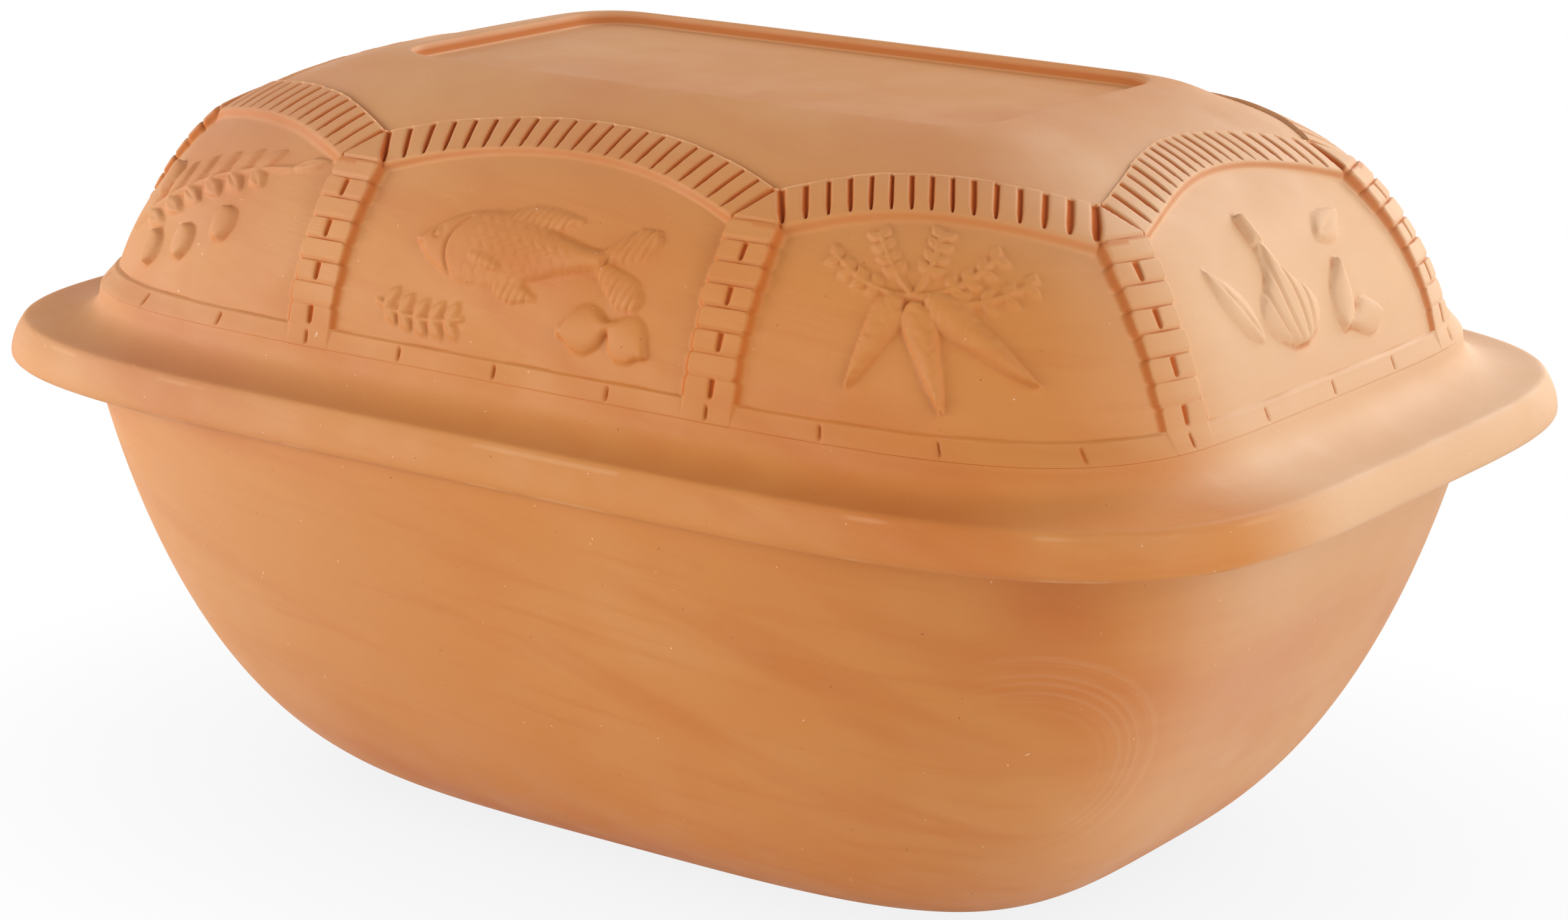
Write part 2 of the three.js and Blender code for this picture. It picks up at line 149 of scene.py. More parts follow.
def clay_piece(name, body, points, faces, joint=None):
    """Object of smooth-shaded faces that rides on a body. joint gives each point's darkening from 0 to 1,
    for its depth in a joint between bricks and for painted shade, or its painted highlight from 0 to -1,
    for the material."""
    mesh = bpy.data.meshes.new(name)
    corners = np.concatenate([face.ravel() for face in faces])
    sizes = np.concatenate([np.full(len(face), face.shape[1]) for face in faces])
    mesh.vertices.add(len(points))
    mesh.vertices.foreach_set("co", points.ravel())
    mesh.loops.add(len(corners))
    mesh.loops.foreach_set("vertex_index", corners)
    mesh.polygons.add(len(sizes))
    mesh.polygons.foreach_set("loop_start", np.cumsum(sizes) - sizes)
    mesh.polygons.foreach_set("use_smooth", np.ones(len(sizes), bool))
    if joint is not None:
        mesh.attributes.new("joint", "FLOAT", "POINT").data.foreach_set("value", joint)
    mesh.update(calc_edges=True)
    mesh.validate()
    mesh.materials.append(terracotta)
    piece = bpy.data.objects.new(name, mesh)
    bpy.context.scene.collection.objects.link(piece)
    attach(piece, body)
    return piece


def srgb(red, green, blue):
    """Linear colour of an sRGB colour given from 0 to 255."""
    share = np.array([red, green, blue]) / 255
    linear = np.where(share <= 0.04045, share / 12.92, ((share + 0.055) / 1.055) ** 2.4)
    return (*linear, 1.0)


CLAY = srgb(205, 132, 66)
CLAY_DEEP = srgb(195, 110, 46)
CLAY_PALE = srgb(213, 150, 90)
CLAY_SPECK = srgb(120, 62, 34)
CLAY_CHIP = srgb(244, 214, 180)
CLAY_JOINT_AND_SHADE = srgb(184, 80, 22)
CLAY_WORN_AND_HIGHLIGHT = srgb(232, 178, 130)
# Pale colour for the sponge arcs, and for painted light on both ends and the top
CLAY_BLOOM_AND_PAINTED_LIGHT = srgb(236, 204, 168)
CLAY_ROUGHNESS = (0.58, 0.7)
CLAY_GLOSS = 0.35
DENT_DEPTH = 0.25 * MM
STREAK_DEPTH = 0.25 * MM
GRAIN_DEPTH = 0.04 * MM
WORN_LEVELS = ((111.0 * MM, 112.8 * MM), (119.8 * MM, 121.6 * MM))
WORN_SHARE = 0.25
# Painted shade on the pan under the flange's overhang near the front right corner
FLANGE_SHADE_PLACE = np.array([141.6, -93.8, 98.5]) * MM
FLANGE_SHADE_REACH = 22.0 * MM
FLANGE_SHADE_SHARE = 0.3
WIPE_PLACE = np.array([128.9, -83.9, 56.4]) * MM
WIPE_REACH = 38.0 * MM
WIPE_PITCH = 2.4 * MM
WIPE_SHARE = 0.13
WIPE_SIDE = (120.0 * MM, 140.0 * MM)

terracotta = bpy.data.materials.new("terracotta")
terracotta.use_nodes = True
clay_nodes, clay_links = terracotta.node_tree.nodes, terracotta.node_tree.links
clay_place = clay_nodes.new("ShaderNodeTexCoord").outputs["Object"]


def noise(scale, detail=2.0, stretch=(1, 1, 1), turn=(0, 0, 0), roughness=0.5):
    """Cloudy pattern from 0 to 1, made finer along each axis by the stretch, then turned."""
    mapping = clay_nodes.new("ShaderNodeMapping")
    mapping.vector_type = "TEXTURE"
    mapping.inputs["Scale"].default_value = [1 / factor for factor in stretch]
    mapping.inputs["Rotation"].default_value = turn
    clay_links.new(clay_place, mapping.inputs["Vector"])
    texture = clay_nodes.new("ShaderNodeTexNoise")
    texture.inputs["Scale"].default_value = scale
    texture.inputs["Detail"].default_value = detail
    texture.inputs["Roughness"].default_value = roughness
    clay_links.new(mapping.outputs["Vector"], texture.inputs["Vector"])
    return texture.outputs["Fac"]


def span(value, low, high, to_low=0.0, to_high=1.0):
    """Value carried from one range to another along a cubic that starts and ends level."""
    ramp = clay_nodes.new("ShaderNodeMapRange")
    ramp.interpolation_type = "SMOOTHSTEP"
    for socket, number in zip(ramp.inputs[1:5], (low, high, to_low, to_high)):
        socket.default_value = number
    clay_links.new(value, ramp.inputs["Value"])
    return ramp.outputs["Result"]


def combined(operation, first, second):
    """Two values put together by an operation, such as their product or the greater of them."""
    both = clay_nodes.new("ShaderNodeMath")
    both.operation = operation
    clay_links.new(first, both.inputs[0])
    clay_links.new(second, both.inputs[1])
    return both.outputs["Value"]


def distance_from(point):
    """Distance of each place on the clay from a point."""
    apart = clay_nodes.new("ShaderNodeVectorMath")
    apart.operation = "DISTANCE"
    apart.inputs[1].default_value = point
    clay_links.new(clay_place, apart.inputs[0])
    return apart.outputs["Value"]


def mixed(colour, other, share):
    """Colour with a share of another mixed in."""
    mix = clay_nodes.new("ShaderNodeMix")
    mix.data_type = "RGBA"
    clay_links.new(share, mix.inputs["Factor"])
    for socket, value in ((mix.inputs["A"], colour), (mix.inputs["B"], other)):
        if isinstance(value, tuple):
            socket.default_value = value
        else:
            clay_links.new(value, socket)
    return mix.outputs["Result"]


def bumped(height, depth, under=None):
    """Direction of a surface that a pattern raises by up to a depth, on top of another bump."""
    bump = clay_nodes.new("ShaderNodeBump")
    bump.inputs["Strength"].default_value = 1.0
    bump.inputs["Distance"].default_value = depth
    clay_links.new(height, bump.inputs["Height"])
    if under is not None:
        clay_links.new(under, bump.inputs["Normal"])
    return bump.outputs["Normal"]


def fired_colour(streaks):
    """Colour from the kiln: layers of deeper and paler clay in broad slanting patches and level streaks,
    then specks and chips. Each layer starts at one value of its pattern and is full at another."""
    patches = noise(scale=7, detail=3, stretch=(0.8, 0.8, 3.2), turn=(0, math.radians(18), 0))
    slant_turn = (0, math.radians(19), 0)
    slants = noise(scale=16, detail=3, stretch=(0.35, 0.5, 3.0), turn=slant_turn, roughness=0.6)
    layers = (
        (CLAY_DEEP, patches, 0.47, 0.68, 0.85),
        (CLAY_PALE, noise(scale=11, detail=3), 0.52, 0.78, 0.60),
        (CLAY_DEEP, slants, 0.50, 0.70, 0.40),
        (CLAY_DEEP, streaks, 0.50, 0.75, 0.28),
        (CLAY_SPECK, noise(scale=700, detail=1), 0.80, 0.82, 0.60),
        (CLAY_CHIP, noise(scale=620, detail=1, stretch=(1, 1, 1.7), turn=(1, 2, 0)), 0.80, 0.82, 0.60),
    )
    colour = CLAY
    for layer, pattern, starts, full, share in layers:
        colour = mixed(colour, layer, span(pattern, starts, full, 0.0, share))
    return colour


def used_colour(colour):
    """Colour after use: both ends and the top made paler, which is painted light, a darker patch under the
    flange, which is painted shade, arcs of a wet sponge low on the front right corner, and worn lines
    along the flange's edges."""
    axes = clay_nodes.new("ShaderNodeSeparateXYZ")
    clay_links.new(clay_place, axes.inputs["Vector"])
    x, y, z = axes.outputs
    # Painted light: the right end is made paler where the lamps light it strongly
    painted_light_right_end = combined("MULTIPLY", span(x, 70 * MM, 160 * MM, 0.0, 0.62), span(y, -85 * MM, -35 * MM))
    painted_light_right_end = combined("MULTIPLY", painted_light_right_end, span(z, 70 * MM, 130 * MM, 0.5, 1.0))
    # Painted light: the left end is made a little paler, as if lit from the left
    painted_light_left_end = span(x, -140 * MM, 30 * MM, 0.2, 0.0)
    # Painted sheen: the top is made slightly paler, standing in for light falling on it from above
    top = span(z, 160 * MM, 190 * MM, 0.0, 0.15)
    for share in (painted_light_right_end, painted_light_left_end, top):
        colour = mixed(colour, CLAY_BLOOM_AND_PAINTED_LIGHT, share)
    # Painted shade: a darker patch on the pan where the flange's overhang shades it
    painted_flange_shade = span(distance_from(FLANGE_SHADE_PLACE), 0.0, FLANGE_SHADE_REACH, FLANGE_SHADE_SHARE, 0.0)
    colour = mixed(colour, CLAY_JOINT_AND_SHADE, painted_flange_shade)
    wiped = distance_from(WIPE_PLACE)
    arcs = clay_nodes.new("ShaderNodeTexNoise")
    arcs.noise_dimensions = "1D"
    arcs.inputs["Scale"].default_value = 1 / WIPE_PITCH
    clay_links.new(wiped, arcs.inputs["W"])
    wipe = span(arcs.outputs["Fac"], 0.4, 0.7, 0.0, WIPE_SHARE)
    inner_fade = span(wiped, 0.4 * WIPE_REACH, 0.7 * WIPE_REACH)
    outer_fade = span(wiped, 0.7 * WIPE_REACH, WIPE_REACH, 1.0, 0.0)
    for fade in (inner_fade, outer_fade, span(x, *WIPE_SIDE)):
        wipe = combined("MULTIPLY", wipe, fade)
    colour = mixed(colour, CLAY_BLOOM_AND_PAINTED_LIGHT, wipe)
    rubbed = span(noise(scale=45, detail=3, stretch=(1, 1, 0.3)), 0.48, 0.62)
    for low, high in WORN_LEVELS:
        middle = (low + high) / 2
        band = combined("MULTIPLY", span(z, low, middle), span(z, middle, high, 1.0, 0.0))
        band = combined("MULTIPLY", band, rubbed)
        colour = mixed(colour, CLAY_WORN_AND_HIGHLIGHT, span(band, 0.0, 1.0, 0.0, WORN_SHARE))
    return colour


def joint_and_painted_light_colour(colour, joint_and_painted_light):
    """Colour darker by the attribute, in the joints between bricks and where shade is painted, and paler
    where edge highlights are painted.
    """
    colour = mixed(colour, CLAY_DEEP, span(joint_and_painted_light, 0.05, 0.4, 0.0, 0.7))
    colour = mixed(colour, CLAY_JOINT_AND_SHADE, span(joint_and_painted_light, 0.3, 0.9, 0.0, 0.8))
    # Painted highlight: negative values make the edges paler
    return mixed(colour, CLAY_WORN_AND_HIGHLIGHT, span(joint_and_painted_light, -0.8, -0.05, 0.7, 0.0))


streak_turn = (math.radians(2), math.radians(5), 0)
streaks = noise(scale=26, detail=4, stretch=(0.6, 0.6, 9.0), turn=streak_turn, roughness=0.6)
# The joint attribute holds the joints' depth, painted shade, and painted highlights as negative values
joints = clay_nodes.new("ShaderNodeAttribute")
joints.attribute_name = "joint"
joint_and_painted_light = joints.outputs["Fac"]
clay = clay_nodes["Principled BSDF"]
clay.inputs["Specular IOR Level"].default_value = CLAY_GLOSS
clay_links.new(joint_and_painted_light_colour(used_colour(fired_colour(streaks)), joint_and_painted_light), clay.inputs["Base Color"])
open_roughness = span(noise(scale=60, detail=3), 0.3, 0.7, *CLAY_ROUGHNESS)
roughness = combined("MAXIMUM", open_roughness, span(joint_and_painted_light, 0.1, 0.5))
clay_links.new(roughness, clay.inputs["Roughness"])
dents = bumped(noise(scale=45, detail=3), DENT_DEPTH)
wiped_dents = bumped(streaks, STREAK_DEPTH, dents)
clay_links.new(bumped(noise(scale=1500), GRAIN_DEPTH, wiped_dents), clay.inputs["Normal"])

curve_shares = np.linspace(0, 1, CURVE_STEPS)
pan_angles = even_angles(RIM, RIM_SQUARENESS, PAN_COLUMNS)
rim_inset = np.array([PAN_WALL, PAN_WALL, 0])
floor_ring = FOOT - np.array([FLOOR_INSET, FLOOR_INSET, -PAN_FLOOR])
outer_pan = wall_rings(FOOT, RIM, PAN_HANDLES, curve_shares)
inner_pan = wall_rings(floor_ring, RIM - rim_inset, PAN_HANDLES, curve_shares)[::-1]
pan_squareness = FOOT_SQUARENESS + (RIM_SQUARENESS - FOOT_SQUARENESS) * curve_shares
flat_margin = np.array([0.8, 0.8, 1.0])
pan_rings = np.concatenate([[FOOT * flat_margin], outer_pan, inner_pan, [floor_ring * flat_margin]])
pan_rows = outline_rows(
    pan_rings,
    np.concatenate([[FOOT_SQUARENESS], pan_squareness, pan_squareness[::-1], [FOOT_SQUARENESS]]),
    pan_angles,
)
pan = clay_piece("pan_clay", "pan", *ring_skin(sponged(pan_rows, SPONGED_EDGE, PAN_ROWS), pan_angles))
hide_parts("base_pan")

# Lid shell
# The domed upper half, pressed in one piece: a wide flange to grip, a cove, a leaning wall that rounds
# over into the top, and a shallow recess there. Inside, the wall drops as a skirt into the pan.
lid_low, lid_high = (np.array(corner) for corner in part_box("lid"))
SKIRT_DROP = 7.0 * MM
SKIRT_LEVEL = lid_low[2]
SEAT_LEVEL = SKIRT_LEVEL + SKIRT_DROP
FLANGE_HEIGHT = 10.9 * MM
FLANGE_LEAN = 3.1 * MM
FLANGE_EDGE = 1.2 * MM
FLANGE = np.array([lid_high[0], lid_high[1], SEAT_LEVEL + FLANGE_EDGE])
FLANGE_SOFTNESS = 1.15 * MM
WALL_INSET = np.array([26.9, 21.1]) * MM
COVE_RISE = 8.5 * MM
COVE_HANDLES = ((0.70, -0.03), (1.0, 0.30))
COURSE_HEIGHT = 4.8 * MM
COURSE_RAISE = 1.2 * MM
COURSE_FLARE = np.array([1.3, 1.0]) * MM
LID_TOP = np.array([87.0, 45.3, 191.7]) * MM
LID_HANDLES = ((0.065, 0.327), (0.293, 0.904))
LID_SQUARENESS = 4.45
FOOT_LINE_SQUARENESS = 4.65
COURSE_SQUARENESS = 5.15
SQUARER_BELOW = 25.0 * MM
LID_WALL = 7.5 * MM
SKIRT_CLEARANCE = 1.5 * MM
SKIRT_TAPER = 1.6 * MM
RECESS_RADIUS = 14.0 * MM
RECESS_DEPTH = 3.5 * MM
RECESS_DRAFT = 1.0 * MM
RECESS_FLOOR_EDGE = 6.0 * MM
RECESS_SHADE = 0.45
RECESS_SHADE_SPAN = np.array([0.4, 1.2, 2.8, 3.4]) * MM
LID_COLUMNS = 480
LID_ROWS = 150
FLANGE_STEPS = 9
WALL_STEPS = 600
BAYS = 8
SIDE_PILASTER = 59.3 * MM
SIDE_PILASTER_LEAN = 1.3 * MM
END_PILASTER = 62.5 * MM
END_PILASTER_LEAN = 13.0 * MM
EXTRADOS = 52.0 * MM
EXTRADOS_RISES = (13.8 * MM, 10.0 * MM)
CROWN_STEPS = 40
BEND_STEPS = 41
SKIN_BED = 1.0 * MM
SKIN_BED_FADE = (3.0 * MM, 7.0 * MM)
SKIN_BED_FOOT = 0.5 * MM
LIP_MARGIN = 2.0 * MM


def shifted(ring, inwards, height):
    """Ring set in all round and moved to a height."""
    return np.array([ring[0] - inwards, ring[1] - inwards, height])


def rounded_rectangle_radius(half_length, half_width, corner, angle):
    """Distance from the axis to a rounded rectangle along each ray: to the nearer side, or to where the
    ray leaves the arc of a corner, whose centre is set in from both sides."""
    across, along = np.abs(np.cos(angle)), np.abs(np.sin(angle))
    side = 1 / np.maximum(across / half_length, along / half_width)
    x, y = half_length - corner, half_width - corner
    arc = across * x + along * y + np.sqrt(np.maximum(corner**2 - (across * y - along * x) ** 2, 0))
    return np.where((side * across > x) & (side * along > y), arc, side)


flange_top = SEAT_LEVEL + FLANGE_HEIGHT
wall_foot = np.array([*(FLANGE[:2] - WALL_INSET), flange_top + COVE_RISE + COURSE_HEIGHT])
course_drop = np.array([*COURSE_FLARE, -COURSE_HEIGHT])
course_ring = shifted(wall_foot + course_drop, -COURSE_RAISE, flange_top + COVE_RISE)
pan_mouth = shifted(RIM, PAN_WALL + SKIRT_CLEARANCE, SEAT_LEVEL)
hollow_foot = shifted(wall_foot, LID_WALL, SKIRT_LEVEL)
hollow_low = shifted(hollow_foot, 0, course_ring[2])
hollow_top = shifted(LID_TOP, 0, LID_TOP[2] - RECESS_DEPTH - LID_WALL)
flange_rings = [shifted(FLANGE, FLANGE_EDGE, SEAT_LEVEL)]
for rise in np.linspace(0, 1, FLANGE_STEPS):
    height = FLANGE[2] + (flange_top - FLANGE[2]) * rise
    flange_rings.append(shifted(FLANGE, FLANGE_LEAN * rise**2, height))
lid_angles = even_angles(FLANGE, LID_SQUARENESS, LID_COLUMNS)
hollow_rings = wall_rings(hollow_low, hollow_top, LID_HANDLES, curve_shares)[::-1]
hollow_squareness = (RIM_SQUARENESS + (LID_SQUARENESS - RIM_SQUARENESS) * curve_shares)[::-1]
skirt_rings = np.array([hollow_foot, shifted(pan_mouth, SKIRT_TAPER, SKIRT_LEVEL), pan_mouth])
cove_rings = wall_rings(flange_rings[-1], course_ring, COVE_HANDLES, curve_shares)
dome_rings = wall_rings(wall_foot, LID_TOP, LID_HANDLES, curve_shares)
outer_rings = np.concatenate([flange_rings, cove_rings[1:], dome_rings])
wall_curve = wall_rings(wall_foot, LID_TOP, LID_HANDLES, np.linspace(0, 1, WALL_STEPS))
wall_table = np.concatenate([[wall_foot + 2 * course_drop], wall_curve])
wall_steps = np.linalg.norm(np.diff(wall_table[:, 1:], axis=0), axis=1)
wall_ups = np.concatenate([[0], np.cumsum(wall_steps)]) - wall_steps[0]
wall_slopes = np.gradient(wall_table, wall_ups, axis=0)


def wall_values(up, table):
    """Three columns of a table of the wall, read at heights measured up its front profile."""
    return [np.interp(up, wall_ups, table[:, k]) for k in range(3)]


def wall_squareness(up):
    """Squareness of the wall's outline at a height: it grows towards the foot and down the course."""
    squareness = (COURSE_SQUARENESS, FOOT_LINE_SQUARENESS, LID_SQUARENESS)
    return np.interp(up, (-COURSE_HEIGHT, 0, SQUARER_BELOW), squareness)


def pilaster_along(face, up):
    """How far a face's two pilasters stand from the middle of the face: less by the square of the
    height, as they lean together."""
    foot, lean = END_PILASTER, END_PILASTER_LEAN
    if face % 2:
        foot, lean = SIDE_PILASTER, SIDE_PILASTER_LEAN
    return foot - lean * (up / EXTRADOS) ** 2


def face_angle(face, along, up):
    """Angle of the ray to a place on a face of the wall, given how far along the face it is. The faces
    run anticlockwise from the right end, and the superellipse gives the distance out."""
    a, b, _ = wall_values(up, wall_table)
    out, half_face = (b, a) if face % 2 else (a, b)
    n = wall_squareness(up)
    reach = out * (1 - np.abs(along / half_face) ** n) ** (1 / n)
    return np.arctan2(along, reach) + face * np.pi / 2


def bay_angle(bay, share, inwards, up):
    """Angle of the ray at a share across a bay, between its pilasters' centre lines set inwards. Even
    bays are faces, shared out along the face. Odd ones are corners, shared out by length round the
    bend, which is summed over short steps and read backwards."""
    face = bay // 2
    if bay % 2 == 0:
        return face_angle(face, (pilaster_along(face, up) - inwards) * (2 * share - 1), up)
    share, inwards, up = np.broadcast_arrays(share, inwards, up)
    first = face_angle(face, pilaster_along(face, up) + inwards, up)[..., None]
    last = face_angle(face + 1, -pilaster_along(face + 1, up) - inwards, up)[..., None]
    turns = first + (last - first) * np.linspace(0, 1, BEND_STEPS)
    a, b, _ = (half[..., None] for half in wall_values(up, wall_table))
    bend = ray_radius(a, b, wall_squareness(up)[..., None], turns) * np.exp(1j * turns)
    length = np.cumsum(np.abs(np.diff(bend, axis=-1)), axis=-1)
    wanted = share[..., None] * length[..., -1:]
    step = np.minimum((length < wanted).sum(axis=-1, keepdims=True), BEND_STEPS - 2)
    after = np.take_along_axis(length, step, -1)
    before = np.where(step > 0, np.take_along_axis(length, np.maximum(step - 1, 0), -1), 0)
    part = (step + (wanted - before) / (after - before)) / (BEND_STEPS - 1)
    return (first + (last - first) * part)[..., 0]


def arch_bulge(share):
    """How far an arch has risen at a share across its bay: a parabola, 0 at the sides and 1 midway."""
    return 1 - (2 * share - 1) ** 2


def smooth(value, low, high):
    """Rise from 0 to 1 between two values, along a cubic that starts and ends level."""
    share = np.clip((value - low) / (high - low), 0, 1)
    return share * share * (3 - 2 * share)


def banded(value, starts, full, fades, ends):
    """1 within a band of values, with a smooth rise before it and a smooth fall after it."""
    return smooth(value, starts, full) * (1 - smooth(value, fades, ends))


bay_shares = np.linspace(0, 1, CROWN_STEPS, endpoint=False)
crown_ups = np.concatenate(
    [EXTRADOS + EXTRADOS_RISES[bay % 2] * arch_bulge(bay_shares) for bay in range(BAYS)]
)
crown_angles = np.concatenate(
    [bay_angle(bay, bay_shares, 0, ups) for bay, ups in enumerate(np.split(crown_ups, BAYS))]
)
crown_at_ray = np.interp(lid_angles, crown_angles, crown_ups, period=2 * np.pi)
outer_ups = np.interp(outer_rings[:, 1:2], wall_table[::-1, 1], wall_ups[::-1])
flange_squareness = np.full(len(flange_rings), LID_SQUARENESS)
cove_squareness = np.linspace(LID_SQUARENESS, COURSE_SQUARENESS, len(cove_rings))[1:]
dome_squareness = wall_squareness(outer_ups[-len(dome_rings) :, 0])
outer_squareness = np.concatenate([flange_squareness, cove_squareness, dome_squareness])
outer_rows = outline_rows(outer_rings, outer_squareness, lid_angles)
under_arcade = smooth(crown_at_ray - outer_ups, *SKIN_BED_FADE)
under_arcade[outer_rings[:, 2] < course_ring[2] + SKIN_BED_FOOT] = 0
outer_rows[..., 0] -= SKIN_BED * under_arcade


def recess_row(inwards, level):
    """Row of the recess: its rounded rectangle set in, at a level."""
    corner = RECESS_RADIUS - inwards
    radius = rounded_rectangle_radius(LID_TOP[0] - inwards, LID_TOP[1] - inwards, corner, lid_angles)
    return np.stack([radius, np.full(LID_COLUMNS, level)], -1)


recess_floor = LID_TOP[2] - RECESS_DEPTH
lip_share = smooth(outer_ups, max(crown_ups) + LIP_MARGIN, wall_ups[-1])
lip_stretch = recess_row(0, LID_TOP[2])[:, 0] / outer_rows[-1, :, 0]
outer_rows[..., 0] *= 1 + (lip_stretch - 1) * lip_share
recess_rows = [
    recess_row(RECESS_DRAFT, recess_floor),
    recess_row(RECESS_DRAFT + RECESS_FLOOR_EDGE, recess_floor),
]
lid_rows = np.concatenate(
    [
        outline_rows(hollow_rings, hollow_squareness, lid_angles),
        outline_rows(skirt_rings, RIM_SQUARENESS, lid_angles),
        outer_rows,
        recess_rows,
    ]
)
soft_rows = sponged(lid_rows, FLANGE_SOFTNESS, LID_ROWS)
below_lip = LID_TOP[2] - soft_rows[..., 1]
past_lip = np.arange(LID_ROWS)[:, None] > below_lip.mean(axis=1).argmin()
# Painted shade: the recess's walls are darkened as if in shadow, through the joint attribute
painted_recess_shade = RECESS_SHADE * past_lip * banded(below_lip, *RECESS_SHADE_SPAN)
shell_shade = np.append(painted_recess_shade.ravel(), [0, 0])
shell = clay_piece("lid_shell", "lid", *ring_skin(soft_rows, lid_angles), shell_shade)
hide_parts("lid")

# Panel reliefs
# Food in low relief in the panels between the pilasters, pressed with the lid from hollows in its mould:
# a fish with lemon, bunches of carrots, garlic, and olive sprigs, each on two opposite panels.
NO_WIDTH = 1e-6


def form(x, y, start, end, widths):
    """Rounded form along a line, in millimetres: a half ellipse across, whose half width follows a row of
    widths given evenly along the line. It is 1 along the line and 0 outside."""
    (x0, y0), (x1, y1) = start, end
    length = math.hypot(x1 - x0, y1 - y0)
    along = ((x - x0) * (x1 - x0) + (y - y0) * (y1 - y0)) / length
    off = ((y - y0) * (x1 - x0) - (x - x0) * (y1 - y0)) / length
    half_width = np.interp(along / length, np.linspace(0, 1, len(widths)), widths)
    half_width = np.where((along < 0) | (along > length), NO_WIDTH, np.maximum(half_width, NO_WIDTH))
    return np.sqrt(np.clip(1 - (off / half_width) ** 2, 0, 1))


def path(x, y, points, half_width):
    """1 on a line through points, falling smoothly to 0 at the half width on both sides."""
    nearest = np.full(x.shape, np.inf)
    for (x0, y0), (x1, y1) in zip(points[:-1], points[1:]):
        square = (x1 - x0) ** 2 + (y1 - y0) ** 2
        share = np.clip(((x - x0) * (x1 - x0) + (y - y0) * (y1 - y0)) / square, 0, 1)
        nearest = np.minimum(nearest, np.hypot(x - x0 - share * (x1 - x0), y - y0 - share * (y1 - y0)))
    return 1 - smooth(nearest, 0, half_width)


def bow(start, end, sag, count=12):
    """Points along a shallow arc from start to end that bows to the left by a sag."""
    share = np.linspace(0, 1, count)
    (x0, y0), (x1, y1) = start, end
    length = math.hypot(x1 - x0, y1 - y0)
    off = 4 * sag * share * (1 - share)
    across = x0 + (x1 - x0) * share - (y1 - y0) / length * off
    upwards = y0 + (y1 - y0) * share + (x1 - x0) / length * off
    return list(zip(across, upwards))


LEAF = (0.0, 1.3, 1.9, 2.1, 1.7, 0.9, 0.0)


def leaf(x, y, start, end, size=1.0):
    """Pointed leaf from its stalk to its tip, with a vein cut along the middle."""
    blade = form(x, y, start, end, [size * w for w in LEAF])
    return blade - 0.45 * path(x, y, [start, end], 0.5) * (blade > 0)


def lemons(x, y):
    """Two lemons side by side, each with a nipple at both ends."""
    widths = (0.9, 2.0, 4.4, 5.5, 5.9, 5.5, 4.4, 2.0, 0.8)
    left = 1.5 * form(x, y, (14.0, 9.2), (29.0, 12.4), widths)
    right = 1.3 * form(x, y, (40.0, 7.0), (28.0, 13.0), widths)
    return np.maximum(left, right)


def fish(x, y):
    """Whole fish facing left, two lemons and a herb sprig."""
    body_widths = (0, 4.6, 7.4, 8.9, 9.5, 9.4, 8.6, 7.2, 5.5, 4.0, 2.7, 2.2)
    tail_widths = (1.0, 2.0, 3.4, 4.4, 2.0)
    body = 1.7 * form(x, y, (-33, 25), (22, 27), body_widths)
    tail = np.maximum(
        form(x, y, (18, 26.5), (35, 35), tail_widths),
        form(x, y, (18, 27.5), (35, 18), tail_widths),
    )
    fins = 0.9 * np.maximum(
        form(x, y, (-12, 33), (12, 36), (0.5, 3.0, 4.2, 3.6, 2.2, 0.4)),
        form(x, y, (-8, 17.5), (6, 15.5), (0.4, 2.6, 3.4, 1.6, 0.2)),
    )
    rays = smooth(np.cos(2 * np.pi * (x - 0.35 * y) / 2.2), 0.2, 1.0) * 0.35
    scales = np.cos(2 * np.pi * (x + 2.2 * np.abs(np.sin(np.pi * (y + 0.08 * x) / 3.4))) / 3.6)
    scaled = banded(x, -19, -15, 10, 16)
    gill = path(x, y, bow((-20.5, 18.0), (-19.5, 32.5), 3.2), 0.8)
    side_fin = 2.1 * form(x, y, (-15.5, 23.5), (-5.5, 21.0), (0.6, 1.9, 2.6, 2.2, 0.5))
    eye = 1 - smooth(np.abs(np.hypot(x + 26.5, y - 27.4) - 1.3), 0, 0.55)
    mouth = path(x, y, [(-33, 24.4), (-29.5, 23.6)], 0.6)
    carved = 0.16 * smooth(scales, 0.3, 1.0) * scaled + 0.55 * gill + 0.45 * eye + 0.5 * mouth
    body = body - carved * (body > 0)
    trim = np.maximum(tail, fins)
    whole = np.maximum(body, trim - rays * (trim > 0))
    whole = np.maximum(whole, side_fin - 0.8 * rays * (side_fin > 0))
    stem = bow((-40, 9), (-14, 8), -2.0)
    herb = 0.8 * path(x, y, stem, 0.9)
    for share in range(1, 11, 2):
        foot_x, foot_y = stem[share]
        herb = np.maximum(herb, 0.9 * leaf(x, y, (foot_x, foot_y), (foot_x + 3.6, foot_y + 5.0), 0.75))
        herb = np.maximum(herb, 0.9 * leaf(x, y, (foot_x, foot_y), (foot_x + 4.6, foot_y - 4.2), 0.75))
    return np.maximum(whole, np.maximum(lemons(x, y), herb))


